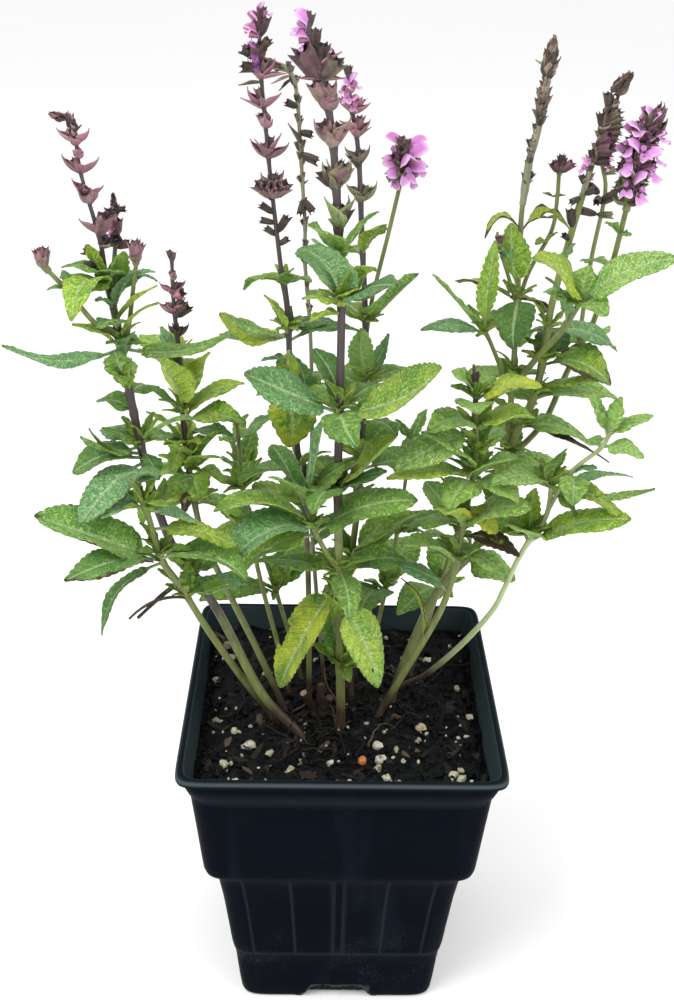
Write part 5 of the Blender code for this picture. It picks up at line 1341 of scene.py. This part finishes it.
def add_corolla(shape, root, compass, rise, hood, lip, width, hue):
    """A two-lipped flower: a tube, a narrow hood that arches over, and a lip that spreads and hangs down."""
    colour = varied(hue, 0.08)
    along = heading(compass, rise)
    tube = [root + along * hood * share for share in (0.05, 0.2, 0.35, 0.5)]
    grow_tube(shape, tube, [0.45, 0.6, 0.85, 1], sides=8, tints=[tuple(colour[:3]) + (0.5,)] * 4)

    def hood_form(share, across, below):
        half = 0.48 * width * (0.4 + 0.6 * smoothed(share, 0.15, 0.6)) * (1 - share ** 6) ** 0.5
        lift = 0.26 * hood * 4 * share * (1 - share) - 1.4 * half * abs(across) ** 1.8
        return share * (1 - 0.14 * share ** 3), half * across, lift - (PETAL_THICK if below else 0)

    def lip_form(share, across, below):
        broad = smoothed(share, 0.42, 0.7)
        half = 0.45 * (1.2 + (width - 1.2) * broad) * max(0.05, 1 - max(0, (share - 0.7) / 0.3) ** 2) ** 0.5
        notch = 0.012 * cos(3.2 * pi * across) * smoothed(share, 0.7, 1)
        drop = -0.34 * lip * smoothed(share, 0.38, 1) ** 1.2
        lift = 0.06 * lip + drop + half * abs(across) ** 2 * (0.35 - broad)
        return share * (1 - 0.28 * broad) + notch, half * across, lift - (PETAL_THICK if below else 0)

    roll = uniform(-0.35, 0.35)
    add_blade(shape, petal_sheet, root, compass, min(STEEPEST, rise + 24), hood, hood_form, colour, roll)
    add_blade(shape, petal_sheet, root, compass + uniform(-8, 8), rise - 12, lip, lip_form,
              [*colour[:3], min(1, colour[3] + 0.15)], roll)


UPRIGHT = 84                            # the steepest that a calyx stands
CUP_TURNS, STUB_TURNS, LITTER_TURNS = (0, 90, 180, 270), (0, 95, 180, 265), (75, 230, 300)
RING = ((0, 0), (24, 22), (-22, -14), (10, 34), (45, -30), (-40, 8), (38, -8))
LIP_SHARE = 0.8                         # how long a flower's lip is beside its hood


def open_whorl(parts, tiers, hue, own, steeper, slim, full):
    """Two cupped bracts with a calyx at each side, and smaller ones before and behind the axis."""
    steeper += uniform(-4, 10)
    for root, turn, rise, length, width in tiers[0]:
        lean = min(82, rise + steeper + uniform(-8, 8))
        add_bract(parts, root, turn + uniform(-8, 8), lean, length * uniform(0.88, 1.06),
                  width * slim * uniform(0.85, 1.1), hue, sag=uniform(0.02, 0.2),
                  tip=uniform(0, 0.16), clasp=0.3, roll=0.3)
        for spread in (-26, 28):
            if draw.random() < full:
                add_calyx(parts, root, turn + spread + uniform(-10, 10),
                          min(UPRIGHT, lean + uniform(8, 30)), length * uniform(0.6, 0.95),
                          width * 0.34, own)
    for root, turn, rise, length, width in tiers[1]:
        add_bract(parts, root, turn + 160, rise - 10, length * 0.8, width * 1.3, hue, clasp=0.6)
        if draw.random() < full + 0.25:
            add_calyx(parts, root, turn, rise + uniform(-12, 12), length * uniform(0.8, 1.1),
                      width * 0.8, own)


def bud_whorl(parts, tier, compass, size, hue, own):
    """Calyces round an upright one, in a small green cup."""
    for root, turn, rise, length, width in tier:
        add_calyx(parts, root, turn, rise + uniform(8, 20), length * uniform(0.78, 0.95),
                  width * 0.72, hue)
    add_calyx(parts, root, compass + 30, UPRIGHT, length * 0.9, width * 0.7, own)
    for turn in CUP_TURNS:
        add_bract(parts, tier[0][0] - UP * 1.2, compass + turn, 62, size * 0.55, size * 0.5,
                  draw.choice((GREENISH, DUSTY)))


def spent_whorl(parts, tier, route, height, compass, size, hue):
    """Ragged calyces, and dry scales that stick out between them."""
    for root, turn, rise, length, width in tier:
        add_calyx(parts, root, turn, rise + uniform(-4, 22), length * 0.9, width * 0.62,
                  draw.choice((hue, CHARRED, HUSK)), uniform(0, 0.7))
    for turn in LITTER_TURNS:
        root = on_route(route, height + uniform(-1.5, 1.5))
        add_bract(parts, root, compass + turn + uniform(-20, 20), uniform(25, 80),
                  size * uniform(0.5, 0.8), size * 0.3, draw.choice((hue, STRAW, HUSK)), cup=0.4,
                  sag=uniform(-0.1, 0.2), roll=0.8)


def bloom_whorl(parts, tier, route, height, compass, size, hue, full):
    """A dense ring of calyces over four bracts."""
    for root, turn, rise, length, width in tier:
        for spread, lean in RING:
            if draw.random() <= full + 0.25:
                add_calyx(parts, root + UP * uniform(-1.5, 1.5), turn + spread + uniform(-8, 8),
                          min(UPRIGHT, rise + lean), length * uniform(0.72, 0.98), width * 0.75,
                          hue._replace(dark=uniform(0.3, 0.9), green=draw.choice((0, 0, 0.4))))
    for turn in CUP_TURNS:
        add_bract(parts, on_route(route, height - 2.5), compass + turn + 20, 20, size * 0.75, size * 0.4,
                  draw.choice((GREENISH, PLUM)))


def spike_node(node, spike, hues, darks=((0, 0.9),), slot="bract", flowers=(), slim=1, thin=0.8, full=0.75,
               lifts=(), shut=999, top=999, cones=(), stubs=(), calyces=(), scales=()):
    """The axis, bracts and calyces that stand for one spike, and its open flowers as a piece of their own.

    The hues are rows of a height and the hue of the whorls from there on. Full is how many of the calyces are
    still there, lifts how much steeper the whorl at a height stands, shut the height from which whorls are
    closed upright, and top where the axis ends and a cone takes over. The flowers, the calyces and the scales
    are rows of a height, compass angle, rise, length, width and hue, the cones of a height, length, radius,
    count and lean, and the stubs of a height and the size of what is left of a calyx there.
    """
    corners = corners_of(node)
    parts, axis = new_shape(), new_shape()
    points = [point for point in rounded_route(spike.route, STEM_STEP) if point.z <= top]
    joints = [row[0] for row in (*spike.whorls, *stubs)]
    total = max(1, len(points) - 1)
    radii = [thin * (spike.foot + (spike.tip - spike.foot) * number / total)
             * (1 + 0.3 * max(exp(-((point.z - joint) / 1.2) ** 2) for joint in joints))
             for number, point in enumerate(points)]
    grow_tube(axis, points, radii, STEM_SIDES, square=0.08,
              tints=stem_tints(points, darks, dried=0.85 if slot == "dry" else 0))
    make_piece(node + "_axis", axis, stem_skin, slot, [node])
    for height, compass, size in spike.whorls:
        if height > top + 2 and spike.kind != "bloom":
            continue
        hue = [row[1] for row in hues if row[0] <= height][-1]
        own = hue._replace(dark=min(1, hue.dark + 0.3), dry=min(1, hue.dry + 0.35))
        tiers = whorl_blades(spike, height, compass, size, corners)
        if height >= shut:
            for root, turn, rise, length, width in tiers[0] + tiers[-1]:
                add_calyx(parts, root, turn, uniform(64, UPRIGHT), length * uniform(0.8, 1.1),
                          size * 0.42, own, wide=0.2)
        elif spike.kind == "bracts":
            open_whorl(parts, tiers, hue, own, dict(lifts).get(height, 0), slim, full)
        elif spike.kind == "bud":
            bud_whorl(parts, tiers[0], compass, size, hue, own)
        elif spike.kind == "spent":
            spent_whorl(parts, tiers[0], spike.route, height, compass, size, hue)
        else:
            bloom_whorl(parts, tiers[0], spike.route, height, compass, size, hue, full)
    for height, size in stubs:
        for turn in STUB_TURNS:
            root = on_route(spike.route, height + uniform(-0.8, 0.8))
            add_calyx(parts, root, turn + uniform(-30, 30), uniform(60, UPRIGHT),
                      size * uniform(0.8, 1.2), size * 0.55, draw.choice((STRAW, HUSK, HUSK, CHARRED)),
                      wide=uniform(0, 0.6))
    for height, *row in calyces:
        add_calyx(parts, on_route(spike.route, height), *row, wide=0.3)
    for height, *row in scales:
        add_bract(parts, on_route(spike.route, height), *row, cup=0.5, sag=0, clasp=0.25)
    for height, length, radius, count, lean in cones:
        lower, upper = on_route(spike.route, height), on_route(spike.route, height + 6)
        along = ((upper - lower).normalized() + Vector(lean)).normalized()
        add_cone(parts, lower, along, length, radius, count, [row[1] for row in hues[-2:]] + [CHARRED])
    make_piece(node + "_parts", parts, spike_skin, slot, [node], sharp=65)
    if not flowers and spike.kind != "bloom":
        return
    petals = new_shape()
    for height, compass, size in spike.whorls if spike.kind == "bloom" else ():
        tiers = whorl_blades(spike, height, compass, size, corners)
        for (root, turn, rise, hood, width), low in zip(tiers[1], tiers[2]):
            if heading(turn, 0).y > 0.35:
                add_corolla(petals, root, turn, rise * 0.3, hood, low[3] * 0.85, width, ROSE)
    for height, compass, rise, length, width, hue in flowers:
        add_corolla(petals, on_route(spike.route, height), compass, rise, length, length * LIP_SHARE, width, hue)
    make_piece(node + "_flowers", petals, petal_skin, "bloom", [node], sharp=75)


spike_skin, shader, place = new_finish("spike_skin", 0.6, specular_ior_level=0.25, sheen_weight=0.1,
                                       subsurface_weight=0.1, subsurface_scale=0.001)
# The dark tint is the hue's own darker tone and, inside the calyces' mouths, painted shade.
greenness, dryness, darkness, lightness = tints_of(shader)
branches = veined(shader, 9, 0.5, 14)["Branches"]
patch, fine = clouds(place, 300, 4, 0.65), clouds(place, 1400, 3)
light = plus(times(patch, 1.3), minus(lightness, 0.72))
mauve, greens, husks = (
    mixed(times(darkness, share), mixed(light, deep, bright), shade) for deep, bright, share, shade in (
        ((0.085, 0.036, 0.05), (0.46, 0.215, 0.275), 0.75, (0.045, 0.019, 0.028)),
        ((0.055, 0.1, 0.025), (0.3, 0.42, 0.14), 0.5, (0.06, 0.055, 0.035)),
        ((0.03, 0.021, 0.017), (0.34, 0.27, 0.19), 0.8, (0.022, 0.015, 0.013))))
shown = coated(
    mauve,
    (times(greenness, fade(patch, 0.15, 0.5)), greens),
    (times(dryness, fade(patch, 0.15, 0.45)), husks),
    (times(branches, 0.3), (0.06, 0.032, 0.035)))
finish_with(shader, shown, plus(times(fine, 0.3), 0.45), minus(fine, branches), depth=0.0003)

# The corolla: thin petals of a clear pink that is paler on the lip, with fine darker veins.
petal_skin, shader, place = new_finish("petal_skin", 0.55, specular_ior_level=0.2, subsurface_weight=0.2,
                                       subsurface_scale=0.0015)
_, dryness, darkness, lightness = tints_of(shader)
_, branches, _, far, along = veined(shader, 11, 0.9, 9)
patch = clouds(place, 240, 3)
pink = coated(
    mixed(patch, (0.44, 0.1, 0.4), (0.76, 0.33, 0.7)),
    (times(fade(lightness, 0.75, 1), 0.4), (0.8, 0.42, 0.78)),
    (times(fade(calc("MAXIMUM", far, along), 0.75, 1), 0.6), (0.86, 0.6, 0.84)),
    (times(fade(along, 0.35, 0.05), 0.7), (0.3, 0.05, 0.27)),
    (times(darkness, 0.9), (0.1, 0.02, 0.12)),
    (times(dryness, 0.8), (0.42, 0.17, 0.21)),
    (times(branches, 0.3), (0.36, 0.08, 0.34)))
finish_with(shader, pink, None, plus(patch, branches), depth=0.0001)

spike_node("front_spike", Spike(1.7, 1, [(-4, -24, 299), (-5, -25, 314), (-7, -26, 335), (-11, -27, 352),
    (-14, -28, 362)], "bracts", [(305, 15, 10), (317, 350, 9.5), (329, 10, 9.5), (339, 95, 8.5), (340, 5, 8),
    (348, 15, 8), (355, 350, 7), (361, 30, 5)]),
    thin=0.85, slim=0.8, full=0.1, shut=354, lifts={305: 34, 317: 26, 329: 6, 339: 26, 340: 12},
    hues=[(300, GREENISH), (312, DUSTY._replace(green=0.75)), (325, MAUVE._replace(green=0.25)),
        (339.5, MAUVE._replace(dark=0.3)), (345, PLUM), (352, PLUM), (358, PLUM)],
    calyces=[(341, 195, 52, 7.5, 4.4, DUSTY), (348, 205, 46, 11, 6.4, PLUM._replace(dry=0.4)),
        (348, 338, 42, 8, 5.5, HUSK), (350, 300, 70, 8, 4, CHARRED), (331, 215, 48, 6.5, 4.4, DUSTY),
        (330, 325, 55, 6.5, 4.4, DUSTY), (318, 195, 40, 6.5, 4.6, CHARRED), (318, 330, 60, 7.5, 5, DUSTY),
        (306, 335, 62, 7, 4.4, CHARRED)],
    scales=[(304, 208, 66, 12, 8, GREEN_CUP), (304, 330, 64, 12, 8.4, GREENISH), (316, 200, 72, 10, 4, GREENISH),
        (316, 290, 66, 10, 8, DUSTY._replace(green=0.7)), (339, 275, 52, 5.6, 6.4, MAUVE),
        (347, 188, 6, 7, 3, MAUVE), (347, 350, 8, 6.5, 3, MAUVE), (350, 345, 38, 8, 5, PINKISH)],
    flowers=[(360, 196, 40, 7.5, 4.4, ROSE._replace(dark=0.1)), (357.5, 188, 0, 7, 3.6, ROSE._replace(dry=0.5)),
        (351, 345, 30, 7, 3.6, ROSE._replace(dry=0.8))])


# The rear spike: greenish cups below and rosy bracts above, with one faded flower. It ends the rear stem,
# and its axis is thinner than the front one's.
spike_node("rear_spike", Spike(1.4, 0.8, [(4, 18, 290), (2, 17, 319), (-1, 16, 335), (-2, 15, 345)],
    "bracts", [(303, 10, 8), (315, 350, 7), (324, 20, 7.5), (331, 355, 7), (337, 80, 6), (342, 20, 4)]),
    slim=0.62, full=0.3, shut=341, thin=0.75,
    hues=[(300, GREENISH), (312, DUSTY._replace(green=0.4)), (320, PINKISH._replace(dark=0.2)), (330, PINKISH),
        (340, PLUM)],
    scales=[(331, 262, 62, 6, 6, PINKISH), (323, 345, 40, 6, 2.6, GREENISH), (313, 190, 50, 7, 3.4, CHARRED)],
    flowers=[(336, 250, 20, 7, 3.6, ROSE._replace(dry=0.35)), (337, 200, 45, 6, 3, ROSE._replace(dry=0.2)),
        (338, 340, 50, 6.5, 3, ROSE._replace(dry=0.3)), (334, 300, 5, 6, 3.4, ROSE._replace(dry=0.5))])


# The left centre spike: a wide fan of dry calyces at its foot, mauve cups above, and a last violet
# flower cluster near its top.
spike_node("left_centre_spike", Spike(1.3, 0.8, [(-22, -3, 286), (-25, -4, 314), (-27, -5, 338), (-28, -6, 352),
    (-27, -7, 362)], "bracts", [(311, 10, 7), (321, 350, 8), (330, 90, 6.5), (336, 10, 7), (344, 355, 6.5),
    (350, 70, 6), (356, 10, 6.5), (361, 60, 4.5)]),
    thin=0.62, slim=0.6, full=0.45, shut=355,
    hues=[(300, Hue(0, 0.6, 0.2, 0.55)), (320, MAUVE._replace(dark=0.35)), (329, PINKISH), (335, MAUVE),
        (345, PLUM), (355, PLUM)],
    calyces=[*((309.5, turn, 34, 7.5, 4.2, Hue(0, 0.55, 0.1, 0.6)) for turn in (205, 232, 256, 280, 305, 332)),
        (308, 190, 55, 7, 2.6, CHARRED), (304, 200, 30, 6, 2.2, CHARRED), (301, 195, 10, 5.5, 2, CHARRED),
        (297, 185, 30, 5, 2, CHARRED), (298, 350, 52, 7, 2.6, CHARRED), (294, 345, 30, 4.5, 2, CHARRED),
        (350, 190, 20, 6.5, 3, CHARRED), (347, 200, 0, 6.5, 3, CHARRED), (352, 340, 40, 5, 2.6, CHARRED)],
    scales=[(320, 195, 58, 8, 3, MAUVE), (321, 345, 62, 8.5, 3, MAUVE), (335, 190, 28, 8, 2, PINKISH),
        (344, 352, 14, 8, 4, PINKISH), (343, 188, -6, 7, 3, HUSK)],
    flowers=[(351, 225, 15, 6, 3.4, ROSE._replace(dark=0.85)), (348.5, 235, 5, 5.5, 3.4, ROSE._replace(dark=0.95)),
        (360, 345, 70, 6, 2.4, ROSE._replace(dark=0.25)), (357, 190, 40, 7.5, 3.4, ROSE._replace(dry=0.5)),
        (355.5, 186, 14, 6.5, 3, ROSE._replace(dry=0.6))])


# The spikes of the left stem and of the left back stem: small plum cups on thin dark axes. Most of their
# flowers are gone, and dark dry calyces hang on below them.
spike_node("left_spike", Spike(1.1, 0.6, [(-73, -28, 292), (-74, -28, 302), (-78, -28, 321), (-79, -28, 333),
    (-82, -30, 339)], "bracts", [(304, 190, 7), (314, 355, 7), (321, 10, 7), (325, 95, 5), (329, 5, 6.5),
    (334, 80, 3.5)]),
    slim=0.58, thin=0.7, full=0.1, top=333,
    hues=[(300, MAUVE._replace(dry=0.35, dark=0.3)), (312, MAUVE._replace(dark=0.3)),
        (325, PINKISH._replace(dark=0.2)), (332, CHARRED)],
    cones=[(329, 5, 1.3, 18, (0, 0, 0)), (333, 4.5, 1.3, 18, (0.25, 0, 0)), (336, 4.5, 1.2, 16, (-1.6, 0, -0.2))],
    calyces=[(313, 265, 40, 6, 4, MAUVE), (303, 335, 60, 8, 4.4, DUSTY), (297, 185, 12, 6.5, 2.6, CHARRED),
        (295, 200, -10, 6.5, 2.4, CHARRED), (296, 215, 35, 5, 2.2, CHARRED)],
    scales=[(312, 262, 55, 7, 6, MAUVE), (303, 350, 45, 6, 4, MAUVE._replace(dark=0.5)),
        (299, 320, 20, 5, 3.4, STRAW), (331, 205, 40, 3, 1.6, CHARRED), (332, 340, 45, 3.4, 1.6, CHARRED)])
spike_node("left_small_spike", Spike(1, 0.6, [(-71, -18, 303), (-71, -17, 318)], "bracts", [(306, 20, 4.5),
    (311, 100, 5), (316, 10, 4)]),
    hues=[(300, CHARRED), (310, MAUVE)], slim=0.7, thin=0.7, full=0.3, top=308,
    cones=[(306, 7, 1, 20, (0, 0, 0))],
    calyces=[(298, 225, 20, 6, 3.4, CHARRED), (298, 280, 25, 6, 3.6, CHARRED), (297, 335, 15, 5.5, 2.6, MAUVE),
        (300, 300, 65, 7, 3.4, PLUM), (301, 245, 70, 7, 3, PINKISH), (308, 350, 0, 4, 1.6, CHARRED)],
    flowers=[(300, 240, 50, 6, 3, ROSE._replace(dry=0.8)), (300, 300, 40, 5, 3, ROSE._replace(dry=0.9))])
spike_node("left_back_spike", Spike(1.1, 0.7, [(-58, 18, 252), (-59, 18, 267), (-59, 18, 284)],
    "bracts", [(256, 20, 6), (264, 350, 6.5), (271, 10, 6.5), (276, 95, 4.5), (282, 20, 4.5)]),
    slim=0.62, thin=0.8, full=0.35, shut=281,
    hues=[(250, CHARRED), (262, PINKISH._replace(dark=0.3)), (270, MAUVE), (275, MAUVE), (280, DUSTY)],
    calyces=[(263, 350, 35, 7, 4, CHARRED), (270, 330, 20, 5, 3.4, PINKISH)])


# The bud heads: five toothed plum calyces round the tip of a branch, in a small green cup. Those on the
# right are smaller, and two of them have turned brown.
for node, foot, tip in (("left_bud", (-88, -35, 294), (-91, -37, 299)),
                        ("middle_bud", (-63, -33, 296), (-63, -34, 302))):
    spike_node(node, Spike(1.3, 0.8, [foot, tip], "bud", [(foot[2] + 2, 0, 6)]),
               hues=[(0, MAUVE._replace(light=0.6))], darks=[(0, 0.35)])
spike_node("right_bud", Spike(1.1, 0.7, [(68, 24, 311), (69, 24, 317)], "bud", [(313, 0, 5)]),
    hues=[(0, CHARRED._replace(dry=0.5))], darks=[(0, 0.1)],
    calyces=[(312, 340, 35, 6, 2.8, MAUVE._replace(dark=0.5)), (312, 205, 40, 5, 2.8, PLUM)],
    scales=[(304, 190, 20, 4, 2, GREENISH), (304, 350, 10, 4, 2, GREENISH), (297, 185, 0, 4, 1.8, GREENISH),
        (297, 0, 0, 4.5, 2, GREENISH)])
spike_node("right_left_bud", Spike(0.9, 0.6, [(48, 8, 291), (47, 8, 296)], "bud", [(292, 0, 3.5)]),
    hues=[(0, PLUM)], darks=[(0, 0.1)])
spike_node("right_inner_bud", Spike(1.2, 0.6, [(40, -19, 254), (39, -19, 261)], "bud", [(255, 0, 4)]),
    hues=[(0, CHARRED)])


# The spent spikes: the axis has dried to grey-brown, ragged calyces cling to its joints, and its tip is
# a cone of dead buds.
spike_node("right_tall_spike", Spike(1.4, 1, [(55, 12, 304), (56, 12, 318), (58, 11, 330), (59, 10, 345),
    (60, 10, 357)], "spent", [(311, 10, 4.5), (319, 60, 3), (334, 70, 3.5), (343, 10, 4), (347, 80, 6),
    (351, 0, 6)]),
    hues=[(0, HUSK), (340, STRAW), (342, CHARRED)], darks=[(0, 0.3)], slot="dry", thin=0.8, top=345,
    cones=[(343.5, 11.4, 2.1, 64, (0, 0, 0)), (343, 5, 2.1, 20, (0, 0, 0))],
    stubs=[(309, 2.6), (312.5, 3), (316, 3.4), (319, 3), (321.5, 3.6), (324, 3), (326.5, 3.2), (329, 3.6),
        (331, 4.4), (333, 4.6), (335, 4.6), (337, 4), (339, 3.6), (341, 3.4)])
spike_node("right_spent_spike", Spike(1.5, 0.9, [(73, 7, 309), (76, 6, 326), (78, 5, 338), (81, 4, 345)],
    "spent", [(312, 20, 4.5), (319, 70, 4.5), (329, 10, 6), (335, 75, 6), (340, 20, 6.5), (343, 100, 6)]),
    hues=[(0, HUSK), (335, CHARRED)], darks=[(0, 0.2)], slot="dry", thin=0.62, top=336,
    stubs=[(315, 3), (319, 3), (323, 3), (327, 3)],
    cones=[(339.5, 6, 2.2, 34, (0.15, 0, 0)), (333, 5, 1.9, 22, (0.2, 0, 0))],
    calyces=[*((329.5 + row, 350 - 9 * row, 10 + 13 * row, 6.6, 2.3, HUSK) for row in (-2, -1, 0, 1, 2)),
        *((323 + row, 350 - 22 * row, 6 + 12 * row, 6.4, 2.6, PLUM) for row in (-2, -1, 0, 1, 2)),
        (323, 310, 10, 7, 2.8, PLUM), (319, 0, 0, 6, 2.6, CHARRED), (309, 340, 20, 5, 2.4, CHARRED),
        (308, 200, -25, 5, 2, CHARRED), (298, 200, 70, 7, 3, CHARRED), (294, 215, 30, 4, 2, CHARRED)],
    flowers=[(316, 190, 40, 6, 3, ROSE._replace(dry=0.35, light=1)),
        (318, 200, 60, 5, 2.4, ROSE._replace(dry=0.5))])
spike_node("right_faded_spike", Spike(1, 0.7, [(83, 29, 313), (83, 29, 318)], "spent", [(315, 20, 3.5)]),
    hues=[(0, HUSK)], darks=[(0, 0.1)], slot="dry",
    calyces=[(304, 200, 30, 6, 2.8, CHARRED), (303, 250, -20, 5, 2.4, CHARRED),
        (301, 345, 25, 8, 3.4, CHARRED), (297, 190, 10, 7, 2.6, CHARRED), (297, 350, -5, 6, 2.4, GREENISH),
        (311, 345, 10, 5, 2.6, GREENISH)],
    flowers=[(314, 200, 40, 6, 3, ROSE._replace(dry=0.2, light=1)), (313, 330, 20, 5, 2.6, ROSE._replace(dry=0.3)),
        (314, 260, 50, 6, 3, ROSE._replace(dry=0.1, light=1))])


# The two heads in bloom: a dense cone of plum calyces, with two-lipped pink flowers all round it. The one
# in the centre is short, and the one on the right more than twice as tall.
spike_node("centre_bloom", Spike(1.4, 1, [(17, 27, 309), (18, 27, 321)], "bloom", [(310, 0, 8), (316, 40, 8)]),
    hues=[(0, PLUM)], darks=[(0, 0.35)], slot="bloom", top=318, full=0.12,
    calyces=[(313, 235, 80, 8, 3.2, PLUM), (313, 215, 68, 7.5, 3, PLUM), (312, 195, 58, 6.5, 2.8, PLUM),
        (313, 275, 76, 8, 3, PLUM), (312, 320, 62, 6, 2.8, PLUM), (312, 345, 48, 6, 2.8, PLUM),
        (310, 268, 20, 5.5, 3.6, GREENISH), (308.5, 200, 5, 5, 3, GREENISH)],
    flowers=[(311, 190, 12, 9.5, 5.8, ROSE), (312, 355, 24, 12.5, 5.8, ROSE), (310.5, 285, 18, 11, 6.4, ROSE),
        (310, 335, 2, 10.5, 5.4, ROSE._replace(light=0.8)), (309, 215, -4, 8, 4.6, ROSE._replace(light=0.7))])
spike_node("right_bloom", Spike(1.6, 1, [(87, 6, 304), (89, 6, 318), (93, 6, 337)], "bloom", [(309, 0, 8),
    (318, 45, 8.5), (327, 10, 8)]),
    hues=[(0, PLUM)], darks=[(0, 0.15)], slot="bloom", top=330, cones=[(327, 7, 3.4, 18, (0.1, 0, 0))],
    calyces=[(322, 185, 30, 8, 3.6, PLUM), (325, 190, 55, 8, 3.6, DUSTY), (329, 230, 62, 7.5, 3.4, DUSTY),
        (316, 190, 15, 7.5, 3.4, PLUM), (313, 205, 0, 6.5, 3.4, GREENISH), (320, 255, 20, 5.5, 3.4, PLUM),
        (314, 300, 15, 5.5, 3.4, GREENISH), (322, 300, 35, 6, 3.4, PLUM), (329, 300, 60, 7.5, 3.4, PLUM),
        (311, 255, -5, 5.5, 3.4, PLUM), (330, 345, 62, 7, 3.2, DUSTY)],
    flowers=[(327, 215, 52, 11.5, 4.6, ROSE), (323, 205, 26, 13.5, 4.6, ROSE), (318, 222, 28, 13.5, 5, ROSE),
        (325, 329, 46, 12.5, 4.8, ROSE), (320, 336, 32, 13.5, 4.6, ROSE), (316, 318, 26, 13.5, 5, ROSE),
        (310, 232, 36, 11.5, 5, ROSE), (309, 302, 30, 12, 5.2, ROSE), (321, 262, 40, 11, 4.4, ROSE),
        (319, 200, 2, 8, 2.8, ROSE._replace(light=0.6))])


# The spent stem: last year's in the middle of the clump, olive and dry, with dark calyces at its joints
# and a frayed top that bends to the left.
spike_node("spent_stem", Spike(1.3, 0.9, [(-5, 13, 102), (-6, 14, 111), (-12, 22, 183), (-12, 26, 222),
    (-13, 29, 255), (-15, 30, 279), (-15, 31, 291), (-16, 31, 306), (-17, 31, 323), (-18, 30, 335), (-20, 29, 341),
    (-25, 28, 344)], "spent", [(262, 20, 3), (279, 70, 3.5), (291, 20, 3.5), (306, 60, 3.5), (316, 10, 4.5),
    (325, 70, 3.5), (337, 20, 4)]),
    hues=[(0, CHARRED)], darks=[(0, 0.2)], slot="dry", thin=0.7, cones=[(342, 9, 1.3, 26, (-2.4, 0, 0.9))],
    stubs=[(270, 2.6), (284, 2.6), (298, 2.8), (312, 3), (331, 3), (341, 3)],
    calyces=[(330, 205, 20, 5, 2.4, CHARRED), (322, 340, -10, 5, 2.4, CHARRED),
        (315, 345, -25, 7, 3, CHARRED), (300, 250, -60, 6, 2.4, CHARRED), (300, 330, -50, 6, 2.6, CHARRED)],
    scales=[(318, 190, 60, 8, 4, CHARRED), (341, 186, 10, 9, 2, STRAW), (341, 176, 20, 10, 1.8, STRAW),
        (342, 190, 28, 9, 2, HUSK), (342, 182, 2, 8, 2, CHARRED), (340, 195, -20, 7, 1.8, STRAW),
        (339, 210, -35, 6, 1.6, CHARRED)])
